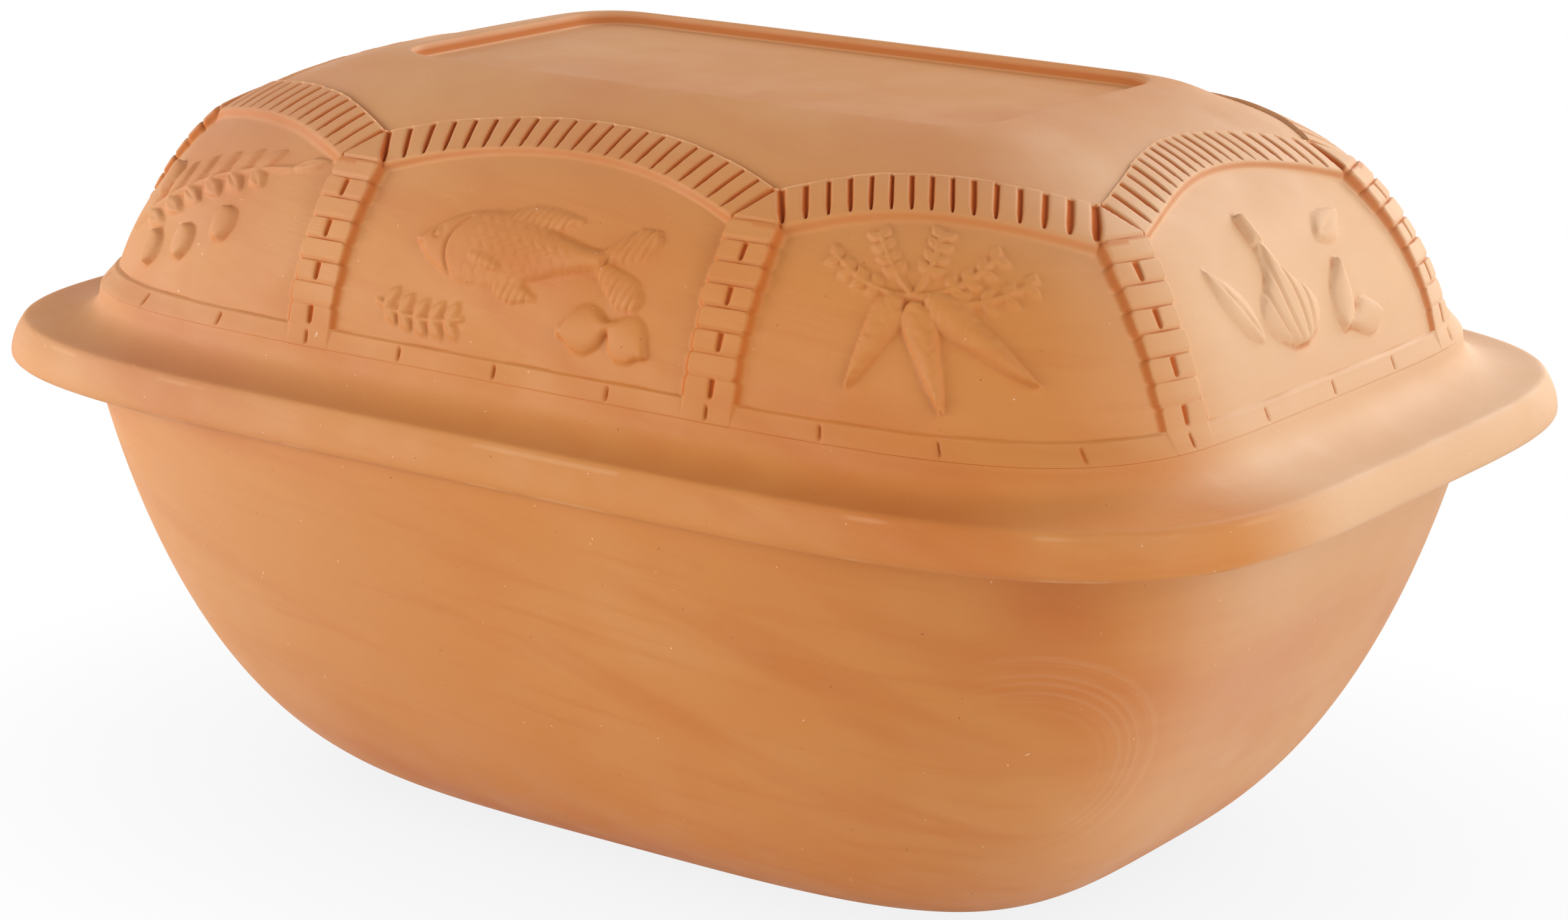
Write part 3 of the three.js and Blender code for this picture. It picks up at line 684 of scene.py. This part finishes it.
def carrots(x, y):
    """Three carrots fanned from a tuft of leaves."""
    high = np.zeros_like(x)
    widths = np.array([1.6, 4.0, 4.2, 3.8, 3.3, 2.8, 2.3, 1.7, 1.0, 0.2])
    roots = (((-9, 29), (-22, 8), 0.9), ((-5.5, 28), (0.5, 4.5), 1.0), ((-2, 29.5), (22, 11.5), 1.05))
    for start, end, size in roots:
        root = form(x, y, start, end, size * widths)
        right, up = end[0] - start[0], end[1] - start[1]
        along = ((x - start[0]) * right + (y - start[1]) * up) / math.hypot(right, up)
        creases = smooth(np.cos(2 * np.pi * along / 4.6 + 3 * np.sin(0.9 * x)), 0.75, 1.0)
        high = np.maximum(high, 1.6 * root - 0.3 * creases * (root > 0.35))
    crown = (-5.5, 29.5)
    tips = (((-24, 38), 2.5), ((-13, 44), 1.0), ((1, 45.5), -1.0), ((14, 41), -2.5), ((22, 34.5), -3.0))
    for tip, sag in tips:
        stalk = bow(crown, tip, sag)
        high = np.maximum(high, 0.9 * path(x, y, stalk, 1.0))
        lean = math.atan2(tip[1] - crown[1], tip[0] - crown[0])
        for point in stalk[4::2]:
            for side in (0.8, -0.8):
                end = (point[0] + 4.2 * math.cos(lean + side), point[1] + 4.2 * math.sin(lean + side))
                high = np.maximum(high, 0.85 * leaf(x, y, point, end, 0.62))
    return high


def garlic(x, y):
    """Bulb of garlic with its neck, two loose cloves and two bay leaves."""
    bulb_widths = (3.5, 9.6, 12.2, 12.8, 11.6, 8.6, 5.2, 3.3, 2.5, 2.2, 2.0, 1.9, 1.6)
    bulb = 1.8 * form(x, y, (-9, 9.5), (-9, 41), bulb_widths)
    creases = np.zeros_like(x)
    for sag, foot in ((-5.4, -13.2), (-1.9, -10.6), (1.9, -7.4), (5.4, -4.8)):
        creases = np.maximum(creases, path(x, y, bow((-9 + foot * 0.06, 34), (foot, 10.2), sag), 0.8))
    bulb = bulb - 0.6 * creases * (bulb > 0)
    clove_widths = (0.4, 3.0, 4.3, 4.6, 4.0, 2.9, 1.7, 0.3)
    cloves = 1.5 * np.maximum(
        form(x, y, (11.5, 8.8), (20, 25.0), clove_widths),
        form(x, y, (30, 10.2), (14.5, 9.6), clove_widths),
    )
    leaves = np.maximum(
        leaf(x, y, (-24.5, 12), (-36, 32), 2.0),
        leaf(x, y, (16.5, 30.5), (33, 35.5), 1.8),
    )
    return np.maximum(bulb, np.maximum(cloves, leaves))


def olives(x, y):
    """Branch of an olive tree with leaves in pairs and four fruits."""
    stem = bow((-25, 11), (24, 37), 5.0, 16)
    high = 0.9 * path(x, y, stem, 1.1)
    for step, (point, ahead) in enumerate(zip(stem[2:14:2], stem[3:15:2])):
        lean = math.atan2(ahead[1] - point[1], ahead[0] - point[0])
        for side, reach in ((0.75, 12.5 - 0.8 * step), (-0.8, 11.5 - 0.6 * step)):
            end = (point[0] + reach * math.cos(lean + side), point[1] + reach * math.sin(lean + side))
            high = np.maximum(high, 1.1 * leaf(x, y, point, end, 1.05))
    high = np.maximum(high, 1.1 * leaf(x, y, stem[-1], (33, 41), 1.0))
    fruits = (
        ((-9, 14), (-7.5, 5.0)),
        ((2.5, 17.5), (5.2, 9.0)),
        ((13, 24), (17.2, 15.8)),
        ((-17, 22), (-21, 30.5)),
    )
    for start, end in fruits:
        fruit = form(x, y, start, end, (0.6, 2.9, 3.6, 3.8, 3.6, 2.8, 0.5))
        high = np.maximum(high, 1.7 * fruit)
    return high


RELIEFS = (garlic, olives, fish, carrots, garlic, olives, fish, carrots)

# Arcade
# The brick arcade round the lid's wall, pressed in one with it: a course along the foot, eight pilasters
# that end in wedges, and eight flat arches of upright bricks. The joints are cut into the soft clay.
SPRING = 41.4 * MM
INTRADOS_RISES = (12.4 * MM, 8.6 * MM)
PILASTER_HALF = 6.8 * MM
PILASTER_FOOT_RAISE = 1.3 * MM
PILASTER_HEAD_RAISE = 3.2 * MM
PILASTER_EDGE = 0.5 * MM
PILASTER_FILLET = 2.6 * MM
PILASTER_COURSES = 8
WEDGE_TIP = 0.75 * MM
BED_ROUNDING = 0.5 * MM
BED_REACH = 1.1 * MM
BED_LIP = 0.3 * MM
BED_CUT = 0.6
BED_LINE_HALF = 0.4 * MM
BED_LINE_MIDDLE = 3.0 * MM
BED_LINE_TINT = 0.3
FAINT_FOOT = 0.4
FAINT_SPAN = (4.0 * MM, 20.0 * MM)
SPLIT_HALF = 0.85 * MM
SPLIT_SPREAD = 0.35 * MM
SPLIT_ENDS = (0.02, 0.25, 0.9, 0.99)
SPLIT_CUT = 0.85
ARCH_EDGE_RAISE = 1.1 * MM
SOFFIT_RAISE = 0.1 * MM
SPRING_RAISE = 0.8 * MM
SOFFIT_FILLETS = (1.4 * MM, 2.4 * MM)
SOFFIT_EDGE = 0.9 * MM
BRICKS = (20, 14, 21, 14)
JOINT_DEPTH = 1.0 * MM
JOINT_HALF = 0.95 * MM
JOINT_CUT = 1.05
WEDGE_JOINT_HALF = 1.25 * MM
WEDGE_JOINT_CUT = 0.9
JOINT_STOP = 1.0 * MM
JOINT_START = (-0.5 * MM, 0.7 * MM)
JOINT_END = (0.975, 0.995)
JOINT_POINT = 0.6
JOINT_POINT_LENGTH = 3.0 * MM
COURSE_BRICKS = 4
COURSE_EDGE = (-0.35 * MM, 0.5 * MM)
COURSE_FACE = (0.5 * MM, 4.6 * MM)
COURSE_TOP_SHARE = 0.65
NOTCH_HALF = 0.7 * MM
NOTCH_SPAN = np.array([0.6, 1.6, 3.6, 4.8]) * MM
NOTCH_MIDDLE = 2.5 * MM
NOTCH_LEAN = 0.05
NOTCH_CUT = 0.65
NOTCH_TINT = 0.85
CREASE_UP = 0.3 * MM
CREASE_HALF = 0.35 * MM
CREASE_WAVE = 4.7 * MM
CREASE_SWING = 0.4
CREASE_CUT = 0.12
CREASE_TINT = 0.2
RELIEF_DEPTH = 1.25 * MM
WORN_PASSES = 2
HOLLOW_PASSES = 14
HOLLOW_SHADE = 0.45
FLANK_SHADE = 2.2
SOFFIT_SHADE = 1.3
RIM_HIGHLIGHT_SPAN = (0.955, 0.985, 1.0, 1.03)
COURSE_HIGHLIGHT_SPAN = np.array([0.1, 0.4, 0.5, 1.2]) * MM
COURSE_HIGHLIGHT = 0.25
HIGHLIGHT_WAVE = 3.1 * MM
HIGHLIGHT_SWING = 0.25
HEAD_PLUNGE = (1.0, 1.05)
FOOT_PLUNGE = (5.0 * MM, 5.6 * MM)
SKIN_UNDER = 1.8 * MM
UNDER_STEP = 12
SHARP_ANGLE = math.radians(60)
SPLIT_PLAY = 0.6 * MM
COURSE_BRICK_PLAY = 2.0 * MM
BRICK_HEAD_PLAY = 0.15 * MM
BRICK_END_PLAY = 0.35 * MM
BRICK_LIFT_PLAY = 0.06
JOINT_LEAN_PLAY = 0.25 * MM
JOINT_WIDTH_PLAY = 0.1
brick_steps = np.array(
    [0, 0.05, 0.10, 0.15, 0.21, 0.28, 0.37, 0.46, 0.55, 0.64, 0.72, 0.79, 0.85, 0.90, 0.95]
)
shaft_steps = MM * np.array(
    [0, 0.25, 0.5, 0.75, 1.0, 1.35, 2.0, 3.0, 4.0, 4.8, 5.3, 5.7, 6.0, 6.25, 6.45, 6.65]
)
bed_steps = np.array(
    [0, 0.05, 0.10, 0.15, 0.21, 0.29, 0.38, 0.47, 0.55, 0.63, 0.71, 0.79, 0.85, 0.90, 0.95]
)
foot_steps = MM * np.array(
    [-5.9, -5.6, -5.35, -5.15, -4.9, -4.5, -3.9, -3.2, -2.5, -1.8, -1.2, -0.8, -0.5, -0.25]
)
arch_steps = np.array(
    [0, 0.25, 0.5, 0.8, 1.1, 1.4, 1.7, 2.0, 2.4, 3.0, 4.0, 5.0, 6.0, 7.0, 8.0, 9.0, 10.0, 11.0, 11.6]
    + [11.85, 12.0, 12.2, 12.4, 12.6, 12.9]
) / 12
course_pitch = SPRING / PILASTER_COURSES
chance = np.random.default_rng(7)
split_places = chance.uniform(-SPLIT_PLAY, SPLIT_PLAY, (BAYS, PILASTER_COURSES))
course_places = chance.uniform(-COURSE_BRICK_PLAY, COURSE_BRICK_PLAY, (BAYS, COURSE_BRICKS))


def bay_grid(bricks):
    """Grid of a bay. Its columns have a share across the panel and an inset from a pilaster's centre line.
    Its rows have a height below the wall's foot, a share up the panel and a share up the arch."""
    shaft = shaft_steps / PILASTER_HALF
    panel = ((np.arange(bricks)[:, None] + brick_steps) / bricks).ravel()
    share = np.concatenate([np.zeros(len(shaft)), panel, np.ones(len(shaft) + 1)])
    inset = np.concatenate([shaft, np.ones(len(panel) + 1), shaft[::-1]])
    beds = ((np.arange(PILASTER_COURSES)[:, None] + bed_steps) / PILASTER_COURSES).ravel()
    foot_up = np.concatenate([foot_steps, np.zeros(len(beds) + len(arch_steps))])
    panel_up = np.concatenate([np.zeros(len(foot_steps)), beds, np.ones(len(arch_steps))])
    arch_up = np.concatenate([np.zeros(len(foot_steps) + len(beds)), arch_steps])
    return share[None], inset[None], foot_up[:, None], panel_up[:, None], arch_up[:, None]


def on_wall(angle, up, lift):
    """Points above the lid's wall along its normal, which is the slope of the superellipse sum: across
    from the powers of x and y, upright from how fast both half axes shrink."""
    a, b, z = wall_values(up, wall_table)
    a_slope, b_slope, z_slope = wall_values(up, wall_slopes)
    n = wall_squareness(up)
    radius = ray_radius(a, b, n, angle)
    x, y = radius * np.cos(angle), radius * np.sin(angle)
    x_part = np.sign(x) * np.abs(x / a) ** (n - 1) / a
    y_part = np.sign(y) * np.abs(y / b) ** (n - 1) / b
    z_part = -(x_part * x * a_slope / a + y_part * y * b_slope / b) / z_slope
    normal = np.stack([x_part, y_part, z_part], -1)
    normal /= np.linalg.norm(normal, axis=-1, keepdims=True)
    return np.stack([x, y, z], -1) + normal * lift[..., None]


def cut(distance, half_width):
    """Share of a joint's depth at a distance from its middle line: a rounded V, and lips where the clay
    was pushed up a little, a bell beside each edge."""
    off = np.abs(distance) / half_width
    return 1 - smooth(off, 0.15, 1.1) - 0.10 * np.exp(-(((off - 1.4) / 0.3) ** 2))


def worn(high, passes):
    """Grid of heights worn soft by passes that each mix a place evenly with its neighbours' mean."""
    for _ in range(passes):
        wide = np.pad(high, 1, mode="edge")
        beside = wide[1:-1, :-2] + wide[1:-1, 2:] + wide[:-2, 1:-1] + wide[2:, 1:-1]
        high = 0.5 * high + 0.125 * beside
    return high


def uneven(run, wave, swing, start=0):
    """Strength that swings along the wall as a sine, up to 1."""
    return 1 - swing + swing * np.sin(run / wave + start)


def grid_quads(grid):
    """Four-cornered faces between the numbered points of a grid."""
    return np.stack([grid[:-1, :-1], grid[:-1, 1:], grid[1:, 1:], grid[1:, :-1]], -1).reshape(-1, 4)


def slab_skin(top, under, rows):
    """Points and faces of a closed slab between a top grid and an under grid with some of its rows."""
    count, columns = top.shape[:2]
    points = np.concatenate([top.reshape(-1, 3), under.reshape(-1, 3)])
    upper = np.arange(count * columns).reshape(count, columns)
    lower = count * columns + np.arange(len(rows) * columns).reshape(len(rows), columns)
    foot = np.stack([upper[0, 1:], upper[0, :-1], lower[0, :-1], lower[0, 1:]], -1)
    head = np.stack([upper[-1, :-1], upper[-1, 1:], lower[-1, 1:], lower[-1, :-1]], -1)
    first = np.concatenate([upper[:, 0], lower[::-1, 0]])[None]
    last = np.concatenate([upper[::-1, -1], lower[:, -1]])[None]
    return points, [grid_quads(upper), grid_quads(lower)[:, ::-1], foot, head, first, last]


for bay in range(BAYS):
    bricks = BRICKS[bay % 4]
    share, inset, foot_up, panel_up, arch_up = bay_grid(bricks)
    risen = arch_bulge(share)
    intrados = SPRING + INTRADOS_RISES[bay % 2] * risen
    brick = np.minimum((share * bricks).astype(int), bricks - 1)
    ragged = chance.uniform(-BRICK_HEAD_PLAY, BRICK_HEAD_PLAY, bricks)[brick]
    extrados = EXTRADOS + EXTRADOS_RISES[bay % 2] * risen + ragged * (inset == 1)
    up = foot_up + panel_up * intrados + arch_up * (extrados - intrados)
    in_wedge = np.clip(arch_up, 0, 1)
    half_shaft = PILASTER_HALF + (WEDGE_TIP - PILASTER_HALF) * in_wedge
    angle = bay_angle(bay, share, inset * half_shaft, up)

    # Distances along the wall
    bare_wall = on_wall(angle, up, np.zeros_like(angle))
    across = np.linalg.norm(np.diff(bare_wall, axis=1), axis=-1)
    run = np.concatenate([np.zeros((len(up), 1)), np.cumsum(across, axis=1)], axis=1)
    width = run[:, -1:]
    panel_width = width - 2 * half_shaft
    from_shaft = np.minimum(run, width - run)
    past_shaft = from_shaft - half_shaft
    past_arch = up - intrados
    late = (share > 0.5).astype(int)
    pilaster = (bay + late) % BAYS
    off_centre = np.where(late, -from_shaft, from_shaft)

    # Pilasters, arch and course standing out
    course = np.clip((up / course_pitch).astype(int), 0, PILASTER_COURSES - 1)
    bed = up - np.round(up / course_pitch) * course_pitch
    in_bed = (up > 0.5 * course_pitch) & (up < SPRING + 0.5 * course_pitch)
    brick_end = chance.uniform(-BRICK_END_PLAY, BRICK_END_PLAY, (2, PILASTER_COURSES))[late, course]
    rounded = BED_ROUNDING * (1 - smooth(np.abs(bed), 0, BED_REACH)) * in_bed
    past_brick = past_shaft - brick_end + rounded + PILASTER_EDGE
    on_shaft = (1 - np.clip(past_brick / PILASTER_FILLET, 0, 1)) ** 2
    raise_shaft = np.interp(up, (0, SPRING), (PILASTER_FOOT_RAISE, PILASTER_HEAD_RAISE))
    raise_shaft = raise_shaft + (ARCH_EDGE_RAISE - PILASTER_HEAD_RAISE) * in_wedge
    on_arch = smooth(past_arch, -SOFFIT_FILLETS[bay % 2], SOFFIT_EDGE)
    brick_lift = 1 + BRICK_LIFT_PLAY * chance.uniform(-1, 1, bricks)[brick]
    raise_arch = ARCH_EDGE_RAISE + (SOFFIT_RAISE + SPRING_RAISE * (1 - risen)) * (1 - in_wedge)
    on_course = smooth(-up, *COURSE_EDGE)
    raise_course = COURSE_RAISE * (COURSE_TOP_SHARE + (1 - COURSE_TOP_SHARE) * smooth(-up, *COURSE_FACE))
    lift = np.maximum(raise_shaft * on_shaft, raise_arch * brick_lift * on_arch)
    lift = np.maximum(lift, raise_course * on_course)

    # Joints in the pilasters
    bedded = on_shaft * in_bed * (FAINT_FOOT + (1 - FAINT_FOOT) * smooth(up, *FAINT_SPAN))
    under_brick = np.where(bed > 0, 1 - smooth(bed, 0, BED_REACH), 1 - smooth(-bed, 0, BED_LIP))
    bed_cut = BED_CUT * under_brick * bedded
    mid_shaft = np.exp(-((off_centre / BED_LINE_MIDDLE) ** 2))
    bed_line = BED_LINE_TINT * (1 + mid_shaft) * cut(bed, BED_LINE_HALF) * bedded
    part = up / course_pitch - course
    in_split = (course % 2 == 0) & (up > 0) & (up < SPRING)
    from_split = off_centre - split_places[pilaster, course]
    split_cut = SPLIT_CUT * cut(from_split, SPLIT_HALF + SPLIT_SPREAD * part)
    split_cut = split_cut * banded(part, *SPLIT_ENDS) * in_split

    # Joints in the arch
    joint_lean = chance.uniform(-JOINT_LEAN_PLAY, JOINT_LEAN_PLAY, bricks + 1)
    joint_half = JOINT_HALF * chance.uniform(1 - JOINT_WIDTH_PLAY, 1 + JOINT_WIDTH_PLAY, bricks + 1)
    joint_half[[0, -1]] = WEDGE_JOINT_HALF
    nearest = np.round(share * bricks).astype(int)
    in_panel = (share - nearest / bricks) * panel_width + joint_lean[nearest] * (arch_up - 0.5)
    from_joint = np.where(inset == 1, in_panel, past_shaft)
    past_stop = past_arch - JOINT_STOP
    in_arch = smooth(past_stop, *JOINT_START) * (1 - smooth(arch_up, *JOINT_END))
    pointed = JOINT_POINT + (1 - JOINT_POINT) * smooth(past_stop, 0, JOINT_POINT_LENGTH)
    arch_cut = cut(from_joint, joint_half[nearest] * pointed) * in_arch
    arch_cut = arch_cut * (JOINT_CUT + (WEDGE_JOINT_CUT - JOINT_CUT) * in_wedge)

    # Notches in the course, and the crease above it
    course_length = width / COURSE_BRICKS
    notch = np.round(run / course_length).astype(int)
    notch_places = np.append(course_places[bay], course_places[(bay + 1) % BAYS, 0])
    from_notch = run - notch * course_length - notch_places[notch] + NOTCH_LEAN * (up + NOTCH_MIDDLE)
    notch_cut = NOTCH_CUT * cut(from_notch, NOTCH_HALF) * banded(-up, *NOTCH_SPAN)
    crease = cut(up - CREASE_UP, CREASE_HALF) * (1 - on_shaft) * uneven(run, CREASE_WAVE, CREASE_SWING)

    # Skin with the relief in its panel, plunged into the shell along its head and foot
    cuts = np.maximum(np.maximum(split_cut, arch_cut), notch_cut)
    cuts = np.where(np.abs(cuts) > bed_cut, cuts, bed_cut) + CREASE_CUT * crease
    panel = 1 - np.maximum(on_shaft, on_arch)
    relief = worn(RELIEFS[bay]((run - width / 2) / MM, up / MM) * panel, WORN_PASSES)
    lift = lift + RELIEF_DEPTH * relief - JOINT_DEPTH * cuts
    plunge = np.maximum(smooth(arch_up, *HEAD_PLUNGE), smooth(-up, *FOOT_PLUNGE))
    top = on_wall(angle, up, lift * (1 - plunge) - SKIN_BED * plunge)
    kept = np.unique(np.append(np.arange(0, len(up), UNDER_STEP), len(up) - 1))
    under = on_wall(angle[kept], up[kept], np.full_like(angle[kept], -SKIN_UNDER))
    points, faces = slab_skin(top, under, kept)

    # Darker clay in the joints; painted shade on the pilasters' flanks, under the arches and in the
    # relief's hollows; painted highlights along the arches' top edges and the course's top edge
    # Painted shade along the pilasters' flanks and the arches' soffits, where shadow would fall
    painted_flank_shade = FLANK_SHADE * on_shaft * (1 - on_shaft) * (up > 0)
    painted_soffit_shade = SOFFIT_SHADE * on_arch * (1 - on_arch)
    tints = (arch_cut, split_cut, NOTCH_TINT * notch_cut, bed_line, CREASE_TINT * crease, painted_flank_shade, painted_soffit_shade)
    shade = np.clip(np.maximum.reduce(np.broadcast_arrays(*tints)), 0, 1)
    # Painted shade in the relief's hollows and round its outlines
    painted_hollow_shade = np.clip(worn(relief, HOLLOW_PASSES) - relief, 0, HOLLOW_SHADE) * panel
    shade = np.maximum(shade, painted_hollow_shade)
    # Painted highlights: thin pale lines along the course's top edge and the arches' top edges, where
    # those edges catch the light
    painted_course_highlight = COURSE_HIGHLIGHT * banded(-up, *COURSE_HIGHLIGHT_SPAN) * (1 - on_shaft)
    painted_edge_highlight = np.maximum(banded(arch_up, *RIM_HIGHLIGHT_SPAN), painted_course_highlight)
    painted_edge_highlight = painted_edge_highlight * uneven(run, HIGHLIGHT_WAVE, HIGHLIGHT_SWING, bay)
    joint = np.concatenate([(shade - painted_edge_highlight * (shade < 0.5)).ravel(), np.zeros(under.size // 3)])
    skin = clay_piece(f"arcade_bay_{bay}", "lid", points, faces, joint)
    skin.data.set_sharp_from_angle(angle=SHARP_ANGLE)

# Studio
# A pale table top, lit by seven large square lamps that stand low and half high round the roaster. The
# table and what lies beyond it look white, and a soft shadow close to the foot is painted into the table's
# white glow from how near the roaster stands.
FLOOR_SIZE = 40.0
WORLD_LIGHT = 0.1
LAMP_DISTANCE = 1.5
LAMP_SIZE = 0.8
LAMP_AIM = Vector((0, 0, 0.1))
FLOOR_COLOUR = srgb(246, 246, 246)
FLOOR_ROUGHNESS = 0.9
SHADOW_REACH = 0.12
SHADOW_TONE = 0.86


def lamp(name, azimuth, height_angle, power):
    """Square lamp at a distance from the roaster, at an azimuth from the right end, turned to face it."""
    turn, tilt = math.radians(azimuth), math.radians(height_angle)
    out = Vector((math.cos(turn) * math.cos(tilt), math.sin(turn) * math.cos(tilt), math.sin(tilt)))
    light = bpy.data.lights.new(name, "AREA")
    light.size = LAMP_SIZE
    light.energy = power
    holder = bpy.data.objects.new(name, light)
    holder.location = LAMP_AIM + LAMP_DISTANCE * out
    holder.rotation_euler = out.to_track_quat("Z", "Y").to_euler()
    bpy.context.scene.collection.objects.link(holder)


def looked_at(nodes, links):
    """1 on rays that show the backdrop: from the camera, mirrored in gloss or seen through glass."""
    seen = nodes.new("ShaderNodeLightPath")
    direct = nodes.new("ShaderNodeMath")
    mirrored = nodes.new("ShaderNodeMath")
    direct.operation = mirrored.operation = "MAXIMUM"
    links.new(seen.outputs["Is Camera Ray"], direct.inputs[0])
    links.new(seen.outputs["Is Glossy Ray"], direct.inputs[1])
    links.new(direct.outputs["Value"], mirrored.inputs[0])
    links.new(seen.outputs["Is Transmission Ray"], mirrored.inputs[1])
    return mirrored.outputs["Value"]


floor_mesh = bpy.data.meshes.new("table_top")
half = FLOOR_SIZE / 2
floor_mesh.from_pydata(
    [(-half, -half, 0), (half, -half, 0), (half, half, 0), (-half, half, 0)], [], [(0, 1, 2, 3)]
)
table_paint = bpy.data.materials.new("table_paint")
table_paint.use_nodes = True
paint_nodes, paint_links = table_paint.node_tree.nodes, table_paint.node_tree.links
paint = paint_nodes["Principled BSDF"]
paint.inputs["Base Color"].default_value = FLOOR_COLOUR
paint.inputs["Roughness"].default_value = FLOOR_ROUGHNESS
white = paint_nodes.new("ShaderNodeEmission")
# Painted shadow: the white glow is dimmed near the roaster by an occlusion test, not by the lamps
nearness = paint_nodes.new("ShaderNodeAmbientOcclusion")
nearness.inputs["Distance"].default_value = SHADOW_REACH
shadow = paint_nodes.new("ShaderNodeMapRange")
shadow.inputs["To Min"].default_value = SHADOW_TONE
paint_links.new(nearness.outputs["AO"], shadow.inputs["Value"])
paint_links.new(shadow.outputs["Result"], white.inputs["Strength"])
either = paint_nodes.new("ShaderNodeMixShader")
paint_links.new(looked_at(paint_nodes, paint_links), either.inputs["Fac"])
paint_links.new(paint.outputs["BSDF"], either.inputs[1])
paint_links.new(white.outputs["Emission"], either.inputs[2])
paint_links.new(either.outputs["Shader"], paint_nodes["Material Output"].inputs["Surface"])
floor_mesh.materials.append(table_paint)
table_top = bpy.data.objects.new("table_top", floor_mesh)
bpy.context.scene.collection.objects.link(table_top)

lamp("left_lamp", -170, 12, 2.7)
lamp("front_left_lamp", -140, 12, 10.4)
lamp("front_lamp", -110, 12, 6.2)
lamp("low_right_lamp", -14, 12, 5.6)
lamp("right_lamp", -5, 38, 8.1)
lamp("back_lamp", 80, 12, 4.8)
lamp("high_back_lamp", 80, 38, 9.9)

world = bpy.data.worlds.new("studio")
world.use_nodes = True
world_nodes, world_links = world.node_tree.nodes, world.node_tree.links
backdrop = world_nodes["Background"]
backdrop.inputs["Color"].default_value = (1, 1, 1, 1)
brightness = world_nodes.new("ShaderNodeMapRange")
brightness.inputs["To Min"].default_value = WORLD_LIGHT
world_links.new(looked_at(world_nodes, world_links), brightness.inputs["Value"])
world_links.new(brightness.outputs["Result"], backdrop.inputs["Strength"])
bpy.context.scene.world = world
bpy.context.scene.view_settings.view_transform = "Standard"

# Camera
# It stands to the right of the front, a little above the lid, and leans slightly.
CAMERA_AZIMUTH = math.radians(34.99)
CAMERA_HEIGHT_ANGLE = math.radians(15.15)
CAMERA_ROLL = math.radians(0.758)
CAMERA_DISTANCE = 1.0106
CAMERA_AIM = np.array([4.7, -0.1, 89.9]) * MM
CAMERA_VIEW_ANGLE = math.radians(22.415)

back = np.array(
    [
        math.sin(CAMERA_AZIMUTH) * math.cos(CAMERA_HEIGHT_ANGLE),
        -math.cos(CAMERA_AZIMUTH) * math.cos(CAMERA_HEIGHT_ANGLE),
        math.sin(CAMERA_HEIGHT_ANGLE),
    ]
)
level = np.array([math.cos(CAMERA_AZIMUTH), math.sin(CAMERA_AZIMUTH), 0])
upright = np.cross(back, level)
right = level * math.cos(CAMERA_ROLL) + upright * math.sin(CAMERA_ROLL)
up = np.cross(back, right)
lens = bpy.data.cameras.new("camera")
lens.sensor_fit = "HORIZONTAL"
lens.angle = CAMERA_VIEW_ANGLE
camera = bpy.data.objects.new("camera", lens)
turn = np.eye(4)
turn[:3, :3] = np.stack([right, up, back], 1)
turn[:3, 3] = CAMERA_AIM + CAMERA_DISTANCE * back
camera.matrix_world = Matrix(turn.tolist())
bpy.context.scene.collection.objects.link(camera)
bpy.context.scene.camera = camera
